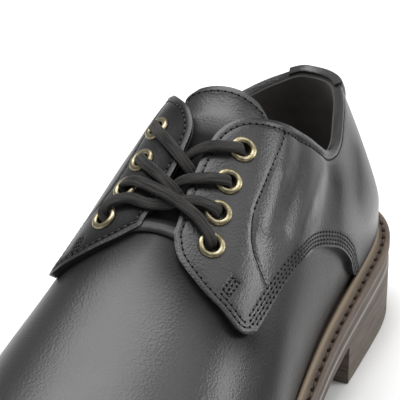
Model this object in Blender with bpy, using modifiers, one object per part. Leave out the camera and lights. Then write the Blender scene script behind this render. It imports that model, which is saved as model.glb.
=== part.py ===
"""Lace-up derby shoe for the left foot: stitched sole, hollow upper, quarters, tongue, eyelets and lace.

+X points to the toe, +Y to the wearer's left (the outer side of this shoe), +Z up.
The sole stands on z = 0. Tables and sizes are in millimetres, meshes in metres.
"""
import math

import bpy
import bmesh
from mathutils import Matrix, Vector

MM = 0.001

# Driving sizes, in millimetres
WALL = 1.8
OVERLAY = 1.4
STRIP = 1.1
GAP = 0.3
QUARTER_GAP = 0.6
WELT = 3.7
MIDSOLE = 4.5
OUTSOLE = 4.5
TOP_PIECE = 5.0
INSOLE_RISE = 0.6
TONGUE = 2.0
WELT_INNER = -4.0
MIDSOLE_INSET = 0.4
OUTSOLE_INSET = 0.2
HEEL_INSET = 0.3
HEEL_FOOT_INSET = 0.5
LIP_HEIGHT = 2.2
LIP_INNER = 1.2
LIP_OUTER = 3.2
CHAMFER = 0.6
BREAST_AROUND = 88.0
BACKSTAY_FOOT = (-9.0, 9.0)
BACKSTAY_TOP = (-10.0, 30.0)
BACKSTAY_FLARE = 4
BACKSTAY_GAP = 0.5
FLAP_LIFT = 0.9
FLAP_LIFT_FROM = 0.72
EYELET_FLANGE = 4.75
EYELET_BORE = 2.5
EYELET_BARREL = 2.9
EYELET_CROWN = 0.75
EYELET_DEPTH = 3.3
EYELET_HOLE = 3.25
HOLE_CUT = 12.0
EYELET_STAND = 0.4
LACE_WIDTH = 4.2
LACE_THICK = 2.2
LACE_CLEARANCE = 0.6
CROSSING_ARCH = 1.0
DIVE_ARCH = 0.4
# A lace that dives under the opposite facing: how far it runs forward, and how far past the ridge it shows
MEDIAL_RUN = 8.0
LATERAL_RUN = 6.0
DIVE_ACROSS = 0.012

# Sections round the last, from the heel seam to the toe tip, the same rows for both sides.
# around: place along the feather edge; core and turn: the point and the direction the section is drawn from;
# lateral and medial: feather radius; belly: bulge of the side and its height; ridge: the instep line above;
# stand and crown: how upright the side is and how flat the top is, for each side.
STATION_COLUMNS = (
    "around", "core_x", "core_y", "turn", "lateral", "medial", "belly_lateral", "belly_medial", "belly_up",
    "ridge", "ridge_y", "stand_lateral", "crown_lateral", "stand_medial", "crown_medial")
STATIONS = (
    (0, -113, 0, 180, 32.2, 32.2, 1.0, 1.0, 13, 121.0, 2, 0.08, 0.28, 0.08, 0.28),
    (16, -113, 0, 150, 32.2, 32.2, 1.0, 1.0, 13, 121.0, 2, 0.08, 0.26, 0.08, 0.30),
    (33, -112, 0, 120, 32.4, 32.4, 0.8, 1.0, 13, 121.0, 2, 0.08, 0.24, 0.09, 0.32),
    (50, -106, 0, 98, 32.9, 32.7, 0.8, 1.2, 13, 123.0, 2, 0.13, 0.30, 0.16, 0.36),
    (75, -85, 0, 92, 34.5, 32.0, 1.0, 1.6, 14, 124.0, 2, 0.22, 0.48, 0.34, 0.52),
    (105, -55, 0, 90, 36.5, 30.5, 1.2, 2.2, 14, 119.0, 2, 0.36, 0.70, 0.54, 0.74),
    (135, -25, 0, 90, 39.5, 32.0, 1.8, 3.0, 14, 104.5, 1, 0.41, 0.76, 0.62, 0.84),
    (165, 5, 0, 90, 43.5, 37.0, 2.6, 3.8, 13, 88.0, -1, 0.42, 0.72, 0.60, 0.80),
    (195, 35, 0, 89, 46.0, 43.5, 3.0, 4.2, 12, 75.0, -3, 0.45, 0.66, 0.56, 0.72),
    (225, 65, -1, 86, 44.5, 44.0, 3.0, 4.0, 12, 64.5, -4, 0.50, 0.62, 0.55, 0.66),
    (252, 90, -4, 75, 39.5, 40.0, 2.8, 3.4, 12, 57.5, -5, 0.56, 0.62, 0.57, 0.64),
    (275, 103, -6, 54, 36.0, 36.0, 2.6, 2.8, 11, 53.5, -6, 0.60, 0.64, 0.60, 0.64),
    (300, 107, -7, 27, 35.5, 35.5, 2.4, 2.4, 11, 52.2, -6, 0.64, 0.64, 0.64, 0.64),
    (326, 107, -7, 0, 36.0, 36.0, 2.4, 2.4, 11, 52.2, -6, 0.64, 0.64, 0.64, 0.64),
)
TOE = 326.0

# Height of the feather edge along the shoe: heel seat, arch, ball and toe spring
SEAT_COLUMNS = ("x", "height")
SEAT = (
    (-152, 31.0), (-110, 31.0), (-85, 30.0), (-55, 27.3), (-25, 22.3), (5, 17.0),
    (28, 13.9), (50, 13.3), (72, 13.7), (95, 16.2), (120, 20.0), (150, 24.5))

# How far the welt stands out past the feather edge
REACH_COLUMNS = ("around", "reach")
REACH = ((0, 7.5), (50, 7.4), (110, 6.6), (160, 7.0), (200, 7.8), (260, 7.8), (326, 7.8))

# Top line of the upper: collar, facing top and throat edge, as a share of the wall up to the ridge
TOP_COLUMNS = ("around", "lateral", "medial")
TOP_LINE = (
    (0, 0.593, 0.593), (16, 0.602, 0.556), (33, 0.609, 0.518), (50, 0.574, 0.496), (66, 0.525, 0.490),
    (74, 0.524, 0.496), (80, 0.539, 0.512), (86, 0.575, 0.553), (92, 0.629, 0.610), (100, 0.710, 0.700),
    (108, 0.806, 0.800), (115, 0.903, 0.900),
    (121, 0.950, 0.948), (130, 0.966, 0.964), (145, 0.962, 0.960), (158, 0.948, 0.946))
THROAT = 158.0
VAMP_BACK = 161.5

# Lower edge of a quarter over the vamp, from the welt at the heel to the flap corner
HEM_COLUMNS = ("around", "up")
HEM = (
    (0, 0.036), (50, 0.036), (66, 0.038), (72, 0.048), (75.5, 0.088), (78.5, 0.150), (83, 0.216),
    (88.5, 0.264), (96, 0.307), (110, 0.374), (130, 0.453), (150, 0.516), (168, 0.557))
# Front edge of a quarter, from the flap corner up to the throat
FLAP_COLUMNS = ("share", "lateral_around", "lateral_up", "medial_around", "medial_up")
FLAP = (
    (0.0, 168.0, 0.557, 166.0, 0.552), (0.08, 171.0, 0.585, 168.8, 0.582), (0.4, 171.8, 0.715, 169.8, 0.705),
    (0.66, 169.6, 0.820, 166.8, 0.806), (0.85, 164.6, 0.906, 162.6, 0.888), (1.0, 158.0, 0.948, 158.0, 0.946))

EYELET_COLUMNS = ("lateral_around", "lateral_up", "medial_around", "medial_up")
EYELETS = (
    (123.5, 0.849, 121.8, 0.800), (135.6, 0.853, 134.4, 0.815), (146.2, 0.844, 144.7, 0.812),
    (156.3, 0.823, 154.9, 0.783))

# Rows of the meshes along the feather edge, as first, last and count: closer together where the shape turns
UPPER_ROWS = ((0.0, 96.0, 13), (100.0, 122.0, 6), (128.0, THROAT, 5), (VAMP_BACK, 248.0, 8), (256.0, TOE, 8))
WELT_ROWS = ((0.0, 56.0, 7), (69.0, 248.0, 12), (256.0, TOE, 8))
UPPER_COLUMNS = 9
QUARTER_ROWS = 25
QUARTER_COLUMNS = 9
BACKSTAY_ROWS = 9
BACKSTAY_COLUMNS = 9
TONGUE_ROWS = 16
TONGUE_CROWDING = 1.5
TONGUE_FACES = 10
SOLE_ROWS = 40
INSOLE_ROWS = 30
HEEL_ROWS = 14
EYELET_FACES = 12
LACE_FACES = 6
LACE_STEPS = 8

# Tongue along the instep: the share of the wall where its edge lies, and how deep it lies under the wall
TONGUE_COLUMNS = ("around", "edge", "depth")
TONGUE_EDGE = (
    (102.8, 0.850, 1.1), (104.2, 0.798, 1.3), (106.5, 0.784, 2.2), (110, 0.778, 3.0), (115, 0.772, 3.0),
    (140, 0.770, 2.8), (160, 0.780, 2.8), (172, 0.820, 2.8))

COLOURS = {
    "upper": ((0.022, 0.022, 0.024), 0.42, 0.0),
    "quarter": ((0.024, 0.024, 0.026), 0.42, 0.0),
    "backstay": ((0.022, 0.022, 0.024), 0.45, 0.0),
    "tongue": ((0.026, 0.025, 0.027), 0.45, 0.0),
    "insole": ((0.10, 0.07, 0.05), 0.80, 0.0),
    "welt": ((0.16, 0.12, 0.09), 0.65, 0.0),
    "midsole": ((0.12, 0.09, 0.07), 0.65, 0.0),
    "outsole": ((0.07, 0.05, 0.045), 0.70, 0.0),
    "heel": ((0.10, 0.075, 0.06), 0.65, 0.0),
    "top_piece": ((0.03, 0.028, 0.027), 0.75, 0.0),
    "eyelet": ((0.45, 0.33, 0.16), 0.30, 1.0),
    "lace": ((0.030, 0.030, 0.032), 0.65, 0.0),
}


def smooth_curve(columns, rows, name, flat_ends=True):
    """Smooth function through a named column of a table, whose first column is the place."""
    column = columns.index(name)
    places = [row[0] for row in rows]
    values = [row[column] for row in rows]
    last = len(places) - 1
    widths = [places[i + 1] - places[i] for i in range(last)]
    rises = [(values[i + 1] - values[i]) / widths[i] for i in range(last)]
    slopes = [0.0 if flat_ends else rises[0]]
    for i in range(1, last):
        both = widths[i] + widths[i - 1]
        slopes.append((widths[i] * rises[i - 1] + widths[i - 1] * rises[i]) / both)
    slopes.append(0.0 if flat_ends else rises[-1])

    def value(place):
        i = 0
        while i < last - 1 and place > places[i + 1]:
            i += 1
        width = widths[i]
        u = min(max((place - places[i]) / width, 0.0), 1.0)
        v = 1.0 - u
        ends = (1 + 2 * u) * v * v * values[i] + u * u * (3 - 2 * u) * values[i + 1]
        return ends + width * u * v * (v * slopes[i] - u * slopes[i + 1])

    return value


SIDE_NAMES = {1: "lateral", -1: "medial"}
LAST = {name: smooth_curve(STATION_COLUMNS, STATIONS, name, name != "turn") for name in STATION_COLUMNS}
SEAT_HEIGHT = smooth_curve(SEAT_COLUMNS, SEAT, "height")
WELT_REACH = smooth_curve(REACH_COLUMNS, REACH, "reach")
TOP_EDGE = {side: smooth_curve(TOP_COLUMNS, TOP_LINE, name) for side, name in SIDE_NAMES.items()}
HEM_EDGE = smooth_curve(HEM_COLUMNS, HEM, "up", flat_ends=False)
FLAP_EDGE = {
    side: [smooth_curve(FLAP_COLUMNS, FLAP, f"{name}_{part}", flat_ends=False) for part in ("around", "up")]
    for side, name in SIDE_NAMES.items()}
TONGUE_SIDE = smooth_curve(TONGUE_COLUMNS, TONGUE_EDGE, "edge")
TONGUE_DEPTH = smooth_curve(TONGUE_COLUMNS, TONGUE_EDGE, "depth")
BELLY_SHARE = 0.14
# Slope at which the instep line runs on over the toe
TOE_FALL = 0.29


def bezier(start, first, second, end, u):
    v = 1.0 - u
    return v * v * v * start + 3 * v * v * u * first + 3 * v * u * u * second + u * u * u * end


def outline(around, side, reach):
    """Plan point of the feather edge, moved out by reach."""
    radius = LAST[SIDE_NAMES[side]](around) + reach
    turn = math.radians(LAST["turn"](around))
    x = LAST["core_x"](around) + radius * math.cos(turn)
    y = LAST["core_y"](around) + radius * math.sin(turn) * side
    return x, y


def wall(around, up, side):
    """Outer face of the upper: up runs from 0 at the feather edge to 1 at the instep ridge."""
    name = SIDE_NAMES[side]
    feather = LAST[name](around)
    belly = feather + LAST["belly_" + name](around)
    feather_z = SEAT_HEIGHT(outline(around, side, 0.0)[0])
    belly_z = feather_z + LAST["belly_up"](around)
    ridge_z = LAST["ridge"](around)
    turn = math.radians(LAST["turn"](around))
    if up < BELLY_SHARE:
        u = up / BELLY_SHARE
        rise = belly_z - feather_z
        radius = bezier(feather, feather, belly, belly, u)
        z = bezier(feather_z, feather_z + 0.35 * rise, belly_z - 0.4 * rise, belly_z, u)
    else:
        u = (up - BELLY_SHARE) / (1.0 - BELLY_SHARE)
        stand = LAST["stand_" + name](around) * (ridge_z - belly_z)
        crown = LAST["crown_" + name](around) * belly
        fall = TOE_FALL * crown * max(0.0, math.cos(turn))
        radius = bezier(belly, belly, crown, 0.0, u)
        z = bezier(belly_z, belly_z + stand, ridge_z - fall, ridge_z, u)
    lean = max(0.0, 1.0 - radius / belly) * LAST["ridge_y"](around)
    x = LAST["core_x"](around) + radius * math.cos(turn)
    y = LAST["core_y"](around) + radius * math.sin(turn) * side + lean
    return Vector((x, y, z))


def outward(around, up, side):
    """Unit normal of the upper's outer face."""
    step, share = 0.6, 0.006
    around = min(max(around, step), TOE - step)
    up = min(max(up, share), 0.985)
    along = wall(around + step, up, side) - wall(around - step, up, side)
    upward = wall(around, up + share, side) - wall(around, up - share, side)
    return (upward.cross(along) * side).normalized()


def over_wall(around, up, side, height):
    return wall(around, up, side) + outward(around, up, side) * height


def spread(first, last, count):
    """Evenly spaced places, both ends included."""
    return [first + (last - first) * i / count for i in range(count + 1)]


def rows_of(runs):
    return [place for run in runs for place in spread(*run)]


def new_collection(name):
    collection = bpy.data.collections.new(name)
    bpy.context.scene.collection.children.link(collection)
    return collection


def make_material(name):
    colour, roughness, metallic = COLOURS[name]
    material = bpy.data.materials.new(name)
    material.use_nodes = True
    shader = material.node_tree.nodes["Principled BSDF"]
    shader.inputs["Base Color"].default_value = (*colour, 1.0)
    shader.inputs["Roughness"].default_value = roughness
    shader.inputs["Metallic"].default_value = metallic
    return material


def add_object(name, bm, collection, material=None):
    mesh = bpy.data.meshes.new(name)
    bm.to_mesh(mesh)
    bm.free()
    mesh.shade_smooth()
    mesh.set_sharp_from_angle(angle=math.radians(40))
    obj = bpy.data.objects.new(name, mesh)
    if material:
        mesh.materials.append(material)
    collection.objects.link(obj)
    return obj


def laid_grid(bm, rows, columns, place):
    """Grid of faces whose points are put where place(row, column) says, in millimetres."""
    made = bmesh.ops.create_grid(bm, x_segments=len(columns) - 1, y_segments=len(rows) - 1, size=1.0)
    for i, vert in enumerate(made["verts"]):
        row, column = divmod(i, len(columns))
        vert.co = Vector(place(rows[row], columns[column])) * MM
    return made["verts"]


def weld(bm):
    bmesh.ops.remove_doubles(bm, verts=bm.verts, dist=0.00002)
    bmesh.ops.dissolve_degenerate(bm, edges=bm.edges, dist=0.00001)


def thicken(obj, thickness, offset):
    solidify = obj.modifiers.new("leather", "SOLIDIFY")
    solidify.thickness = thickness * MM
    solidify.offset = offset
    solidify.use_even_offset = True
    solidify.use_quality_normals = True


def face_outward(bm, around, up, side):
    """Turn the faces so that the one nearest a place on the wall points out of the shoe."""
    target = wall(around, up, side) * MM
    nearest = min(bm.faces, key=lambda face: (face.calc_center_median() - target).length)
    nearest.normal_update()
    if nearest.normal.dot(outward(around, up, side)) < 0:
        bmesh.ops.reverse_faces(bm, faces=bm.faces)


def top_of_upper(around, side):
    if around > THROAT:
        return 1.0
    return TOP_EDGE[side](around) - 0.012


def make_upper(collection, material):
    """Vamp and quarter wall in one shell, open at the collar, along the throat and underneath."""
    bm = bmesh.new()
    arounds = rows_of(UPPER_ROWS)
    shares = spread(0.0, 1.0, UPPER_COLUMNS)
    for side in (1, -1):
        verts = laid_grid(bm, arounds, shares, lambda a, s: wall(a, s * top_of_upper(a, side), side))
        if side < 0:
            bmesh.ops.reverse_faces(bm, faces=list({face for vert in verts for face in vert.link_faces}))
    weld(bm)
    face_outward(bm, 110.0, 0.3, 1)
    upper = add_object("upper", bm, collection, material)
    thicken(upper, WALL, -1.0)
    return upper


def quarter_place(share, rise, side):
    """Place on the last for a point of a quarter: a patch between heel seam, hem, flap edge and top line."""
    heel_top = TOP_EDGE[side](0.0)
    corner, flap, throat = ([edge(at) for edge in FLAP_EDGE[side]] for at in (0.0, rise, 1.0))
    hem_around = share * corner[0]
    top_around = share * throat[0]
    hem = (hem_around, HEM_EDGE(hem_around))
    top = (top_around, TOP_EDGE[side](top_around))
    heel = (0.0, HEM_EDGE(0.0) + (heel_top - HEM_EDGE(0.0)) * rise)
    corners = ((0.0, HEM_EDGE(0.0)), corner, (0.0, heel_top), throat)
    place = []
    for k in (0, 1):
        edges = (1 - rise) * hem[k] + rise * top[k] + (1 - share) * heel[k] + share * flap[k]
        low = (1 - share) * corners[0][k] + share * corners[1][k]
        high = (1 - share) * corners[2][k] + share * corners[3][k]
        place.append(edges - (1 - rise) * low - rise * high)
    return place


def quarter_height(share, rise):
    """How far a quarter stands off the wall: the flap's front lifts a little."""
    u = max(0.0, (share - FLAP_LIFT_FROM) / (1.0 - FLAP_LIFT_FROM))
    return QUARTER_GAP + FLAP_LIFT * u * u * u * (1.0 - rise)


def make_quarter(collection, material, side):
    """Quarter with its facing, laid over the upper and sewn to the vamp along its hem."""
    bm = bmesh.new()
    seam = 0.35 / THROAT

    def place(share, rise):
        around, up = quarter_place(max(share, seam), rise, side)
        return over_wall(around, up, side, quarter_height(share, rise))

    laid_grid(bm, spread(0.0, 1.0, QUARTER_ROWS), spread(0.0, 1.0, QUARTER_COLUMNS), place)
    weld(bm)
    face_outward(bm, 90.0, 0.4, side)
    quarter = add_object("quarter_" + SIDE_NAMES[side], bm, collection, material)
    thicken(quarter, OVERLAY, 1.0)
    return quarter


def make_backstay(collection, material):
    """Strip that covers the seam up the back of the heel and widens along the collar."""
    bm = bmesh.new()
    height = QUARTER_GAP + OVERLAY + BACKSTAY_GAP

    def place(share, rise):
        flare = rise ** BACKSTAY_FLARE
        first, last = (foot + (top - foot) * flare for foot, top in zip(BACKSTAY_FOOT, BACKSTAY_TOP))
        across = first + (last - first) * share
        side = 1 if across >= 0 else -1
        low = HEM_EDGE(0.0) + 0.006
        high = TOP_EDGE[side](abs(across)) - 0.004
        return over_wall(abs(across), low + (high - low) * rise, side, height)

    laid_grid(bm, spread(0.0, 1.0, BACKSTAY_ROWS), spread(0.0, 1.0, BACKSTAY_COLUMNS), place)
    face_outward(bm, 4.0, 0.3, 1)
    backstay = add_object("backstay", bm, collection, material)
    thicken(backstay, STRIP, 1.0)
    return backstay


def make_tongue(collection, material):
    """Tongue under the facings, from under the vamp up past the facing tops."""
    bm = bmesh.new()
    first, last = TONGUE_EDGE[0][0], TONGUE_EDGE[-1][0]

    def place(around, across):
        side = 1 if across >= 0 else -1
        up = 1.0 - abs(across) * (1.0 - TONGUE_SIDE(around))
        return over_wall(around, up, side, -TONGUE_DEPTH(around))

    rows = [first + (last - first) * share ** TONGUE_CROWDING for share in spread(0.0, 1.0, TONGUE_ROWS)]
    laid_grid(bm, rows, spread(-1.0, 1.0, TONGUE_FACES), place)
    face_outward(bm, 130.0, 0.99, 1)
    tongue = add_object("tongue", bm, collection, material)
    thicken(tongue, TONGUE, -1.0)
    return tongue


def level(x, depth):
    """Height of a layer that lies this far under the feather edge."""
    return SEAT_HEIGHT(x) - depth


WELT_BOTTOM = GAP + WELT
MIDSOLE_TOP = WELT_BOTTOM + GAP
MIDSOLE_BOTTOM = MIDSOLE_TOP + MIDSOLE
OUTSOLE_TOP = MIDSOLE_BOTTOM + GAP
OUTSOLE_BOTTOM = OUTSOLE_TOP + OUTSOLE


def tread(x):
    """Underside of the outsole: flat on the floor at the ball, raised at the arch, heel and toe."""
    return max(0.0, level(x, OUTSOLE_BOTTOM))


def make_plate(name, collection, material, arounds, reaches, top, bottom):
    """Layer of the sole between two places along the feather edge, from top(x) down to bottom(x)."""
    bm = bmesh.new()
    for reach, height in zip(reaches, (top, bottom)):

        def place(around, share):
            lateral = Vector(outline(around, 1, reach(around)))
            medial = Vector(outline(around, -1, reach(around)))
            x, y = lateral.lerp(medial, share)
            return x, y, height(x)

        laid_grid(bm, arounds, spread(0.0, 1.0, 2), place)
    weld(bm)
    bmesh.ops.bridge_loops(bm, edges=[edge for edge in bm.edges if edge.is_boundary])
    bmesh.ops.recalc_face_normals(bm, faces=bm.faces)
    return add_object(name, bm, collection, material)


def make_welt(collection, material):
    """Strip all round between upper and midsole, with a raised lip against the upper."""
    bm = bmesh.new()
    arounds = rows_of(WELT_ROWS)
    loop = [(around, 1) for around in arounds]
    loop += [(around, -1) for around in reversed(arounds)]

    def section(around):
        edge = WELT_REACH(around)
        return (
            (WELT_INNER, -WELT_BOTTOM), (edge, -WELT_BOTTOM), (edge, -GAP - CHAMFER), (edge - CHAMFER, -GAP),
            (LIP_OUTER, -GAP), (LIP_OUTER - CHAMFER, LIP_HEIGHT), (LIP_INNER, LIP_HEIGHT - CHAMFER),
            (LIP_INNER, -GAP), (WELT_INNER, -GAP))

    def place(spot, corner):
        around, side = spot
        corners = section(around)
        reach, height = corners[corner % len(corners)]
        x, y = outline(around, side, reach)
        return x, y, SEAT_HEIGHT(x) + height

    laid_grid(bm, loop, range(len(section(0.0)) + 1), place)
    weld(bm)
    bmesh.ops.recalc_face_normals(bm, faces=bm.faces)
    return add_object("welt", bm, collection, material)


def inset(amount):
    """Outline of a layer that stays this far inside the welt's edge."""
    return lambda around: WELT_REACH(around) - amount


def make_sole(collection, materials):
    """Insole, midsole, outsole, stacked heel and its top piece, from the foot down to the floor."""
    full = spread(0.0, TOE, SOLE_ROWS)
    heel = spread(0.0, BREAST_AROUND, HEEL_ROWS)

    def insole_edge(around):
        return WELT_INNER - 2 * GAP

    layers = (
        ("insole", "insole", spread(0.0, TOE, INSOLE_ROWS), (insole_edge, insole_edge),
         lambda x: level(x, -INSOLE_RISE), lambda x: level(x, WELT_BOTTOM)),
        ("midsole", "midsole", full, (inset(MIDSOLE_INSET), inset(MIDSOLE_INSET)),
         lambda x: level(x, MIDSOLE_TOP), lambda x: level(x, MIDSOLE_BOTTOM)),
        ("outsole", "outsole", full, (inset(OUTSOLE_INSET), inset(OUTSOLE_INSET)),
         lambda x: level(x, OUTSOLE_TOP), tread),
        ("heel", "heel", heel, (inset(HEEL_INSET), inset(HEEL_FOOT_INSET)),
         lambda x: tread(x) - GAP, lambda x: TOP_PIECE + GAP),
        ("heel_top_piece", "top_piece", heel, (inset(HEEL_FOOT_INSET), inset(HEEL_FOOT_INSET)),
         lambda x: TOP_PIECE, lambda x: 0.0))
    for name, material, arounds, reaches, top, bottom in layers:
        make_plate(name, collection, materials[material], arounds, reaches, top, bottom)


def eyelet_spot(row, side):
    """Place of an eyelet on the last, as around and up."""
    return [row[EYELET_COLUMNS.index(f"{SIDE_NAMES[side]}_{part}")] for part in ("around", "up")]


def eyelet_frame(row, side):
    """Place and turn of an eyelet on the outside of a facing."""
    around, up = eyelet_spot(row, side)
    normal = outward(around, up, side)
    spot = wall(around, up, side) + normal * (QUARTER_GAP + OVERLAY + EYELET_STAND)
    turn = normal.to_track_quat("Z", "X").to_matrix().to_4x4()
    return Matrix.Translation(spot * MM) @ turn


def make_eyelet(name, collection, material, matrix):
    """Turned ring: a rolled flange on the facing and a barrel through it."""
    profile = (
        (EYELET_BARREL, 0.0), (EYELET_BARREL, -EYELET_DEPTH), (EYELET_BORE, -EYELET_DEPTH),
        (EYELET_BORE, EYELET_CROWN * 0.4), ((EYELET_BORE + EYELET_FLANGE) / 2, EYELET_CROWN),
        (EYELET_FLANGE, 0.0))
    bm = bmesh.new()
    ring = [bm.verts.new(Vector((radius, 0.0, height)) * MM) for radius, height in profile]
    for i, vert in enumerate(ring):
        bm.edges.new((vert, ring[(i + 1) % len(ring)]))
    bmesh.ops.spin(
        bm, geom=list(bm.verts) + list(bm.edges), cent=(0, 0, 0), axis=(0, 0, 1),
        angle=math.tau, steps=EYELET_FACES, use_merge=True)
    weld(bm)
    bmesh.ops.recalc_face_normals(bm, faces=bm.faces)
    eyelet = add_object(name, bm, collection, material)
    eyelet.matrix_world = matrix
    return eyelet


def make_hole_cutter(collection):
    """One pin through each eyelet place, to cut the facings and the wall behind them."""
    bm = bmesh.new()
    for side in (1, -1):
        for row in EYELETS:
            bmesh.ops.create_cone(
                bm, cap_ends=True, segments=EYELET_FACES, radius1=EYELET_HOLE * MM, radius2=EYELET_HOLE * MM,
                depth=HOLE_CUT * MM, matrix=eyelet_frame(row, side))
    cutter = add_object("eyelet_holes", bm, collection)
    cutter.hide_render = True
    cutter.display_type = "WIRE"
    return cutter


def cut(obj, cutter):
    boolean = obj.modifiers.new("eyelet holes", "BOOLEAN")
    boolean.operation = "DIFFERENCE"
    boolean.object = cutter


def lace_route(start, end, lift):
    """Points and normals of a lace that crosses the instep between two places on the last."""
    points = []
    for share in spread(0.0, 1.0, LACE_STEPS):
        across = start[1] + (end[1] - start[1]) * share
        around = start[0] + (end[0] - start[0]) * share
        side = 1 if across >= 0 else -1
        arch = 4.0 * share * (1.0 - share)
        normal = outward(around, 1.0 - abs(across), side)
        points.append((wall(around, 1.0 - abs(across), side) + normal * (lift[0] + lift[1] * arch), normal))
    return points


def add_cord(bm, route):
    """Oval cord along a route, closed at both ends."""
    turns = spread(0.0, math.tau, LACE_FACES)

    def place(i, turn):
        point, normal = route[i]
        ahead = route[min(i + 1, len(route) - 1)][0]
        behind = route[max(i - 1, 0)][0]
        flat = (ahead - behind).normalized().cross(normal).normalized()
        lift = normal * (LACE_THICK / 2 * math.sin(turn))
        return point + flat * (LACE_WIDTH / 2 * math.cos(turn)) + lift

    laid_grid(bm, list(range(len(route))), turns, place)
    weld(bm)
    bmesh.ops.holes_fill(bm, edges=bm.edges, sides=LACE_FACES)
    bmesh.ops.recalc_face_normals(bm, faces=bm.faces)


def make_crossing(name, collection, cutters, material, routes):
    """Two cords that cross, joined into one solid."""
    over_bm = bmesh.new()
    add_cord(over_bm, routes[0])
    over = add_object(name, over_bm, collection, material)
    under_bm = bmesh.new()
    add_cord(under_bm, routes[1])
    under = add_object(name + "_under", under_bm, cutters, material)
    under.hide_render = True
    under.display_type = "WIRE"
    union = over.modifiers.new("joined", "BOOLEAN")
    union.operation = "UNION"
    union.object = under


def make_laces(collection, cutters, material):
    """Three crossings: the lowest runs from eyelet to eyelet, the others dive under the opposite facing."""
    on_top = QUARTER_GAP + OVERLAY + EYELET_STAND + EYELET_CROWN + LACE_CLEARANCE + LACE_THICK / 2
    eyelets = {}
    for number, row in enumerate(EYELETS, start=1):
        for side in (1, -1):
            around, up = eyelet_spot(row, side)
            eyelets[number, side] = (around, side * (1.0 - up))
    low = lace_route(eyelets[3, -1], eyelets[4, 1], (on_top, CROSSING_ARCH))
    under = lace_route(eyelets[4, -1], eyelets[3, 1], (on_top, -DIVE_ARCH))
    make_crossing("lace_crossing_low", collection, cutters, material, (low, under))
    for number, name in ((2, "lace_crossing_middle"), (1, "lace_crossing_top")):
        lateral_end = (eyelets[number, 1][0] + LATERAL_RUN, -DIVE_ACROSS)
        medial_end = (eyelets[number, -1][0] + MEDIAL_RUN, DIVE_ACROSS)
        from_medial = lace_route(eyelets[number, -1], medial_end, (on_top, DIVE_ARCH))
        from_lateral = lace_route(eyelets[number, 1], lateral_end, (on_top, -DIVE_ARCH))
        make_crossing(name, collection, cutters, material, (from_medial, from_lateral))


def build():
    for obj in list(bpy.data.objects):
        bpy.data.objects.remove(obj)
    parts = new_collection("derby_shoe")
    cutters = new_collection("cutters")
    materials = {name: make_material(name) for name in COLOURS}

    holes = make_hole_cutter(cutters)
    cut(make_upper(parts, materials["upper"]), holes)
    for side in (1, -1):
        cut(make_quarter(parts, materials["quarter"], side), holes)
    make_backstay(parts, materials["backstay"])
    make_tongue(parts, materials["tongue"])

    make_welt(parts, materials["welt"])
    make_sole(parts, materials)
    for side in (1, -1):
        for number, row in enumerate(EYELETS, start=1):
            name = f"eyelet_{SIDE_NAMES[side]}_{number}"
            make_eyelet(name, parts, materials["eyelet"], eyelet_frame(row, side))
    make_laces(parts, cutters, materials["lace"])


build()
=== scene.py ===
"""Looks of the left derby shoe, laid over its solids: leather, seams, lace, brass eyelets and stitched sole.

+X points to the toe, +Y to the wearer's left, which is the outer side of the shoe, and +Z up.
Tables and sizes are in millimetres, meshes in metres.
"""
import math

import bmesh
import bpy
import numpy as np
from mathutils import Matrix, Vector
from mathutils.kdtree import KDTree


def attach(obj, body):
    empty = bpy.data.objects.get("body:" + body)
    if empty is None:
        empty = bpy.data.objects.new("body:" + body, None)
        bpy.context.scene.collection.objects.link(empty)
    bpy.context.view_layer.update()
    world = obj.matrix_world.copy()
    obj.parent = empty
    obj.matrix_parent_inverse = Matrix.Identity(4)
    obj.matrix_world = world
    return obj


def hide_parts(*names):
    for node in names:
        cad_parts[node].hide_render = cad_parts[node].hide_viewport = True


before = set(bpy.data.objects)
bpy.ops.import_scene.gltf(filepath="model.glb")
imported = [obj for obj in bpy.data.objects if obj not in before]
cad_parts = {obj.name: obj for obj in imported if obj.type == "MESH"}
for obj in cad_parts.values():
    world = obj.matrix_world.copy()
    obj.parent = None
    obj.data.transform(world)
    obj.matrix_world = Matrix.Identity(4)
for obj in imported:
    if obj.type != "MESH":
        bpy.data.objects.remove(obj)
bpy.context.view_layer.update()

MM = 0.001
BODY = "root"

# Thicknesses, clearances and main places of the pieces
LINED_WALL = 1.3
OVERLAY = 1.4
GAP = 0.3
QUARTER_GAP = 0.6
PLUMP = 0.25
WELT = 3.7
MIDSOLE = 4.5
OUTSOLE = 4.5
TOP_PIECE = 5.0
INSOLE_RISE = 0.6
TONGUE = 2.0
WELT_INNER = -4.0
MIDSOLE_INSET = 0.4
OUTSOLE_INSET = 0.2
HEEL_INSET = 0.3
HEEL_FOOT_INSET = 0.5
LIP_HEIGHT = 2.2
LIP_INNER = 1.2
LIP_OUTER = 3.2
BREAST_AROUND = 88.0
BACKSTAY_FOOT = (-9.0, 9.0)
BACKSTAY_TOP = (-10.0, 30.0)
BACKSTAY_FLARE = 4
BACKSTAY_GAP = 0.5
STRIP = 0.9
FLAP_LIFT = 0.9
EYELET_FLANGE = 4.75
EYELET_BORE = 2.5
EYELET_BARREL = 2.9
EYELET_DEPTH = 3.3
EYELET_HOLE = 3.25
LACE_WIDTH = 4.0
LACE_THICK = 1.9
TOE = 326.0
THROAT = 158.0
VAMP_BACK = 158.3
BELLY_SHARE = 0.14
TUCK = 0.38
LOW_PULL = 0.35
BELLY_PULL = 0.4
TOE_FALL = 0.29
UPPER_BELOW_TOP = 0.007
FLAP_LIFT_FROM = 119.0
FLAP_LIFT_RUN = 50.0
LACE_ROOM = 0.9
LACE_ROOM_AT = (112.0, 120.0)

# How close points lie that are welded together, in metres
WELD = 0.00002
SLIVER = 0.00001

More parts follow.
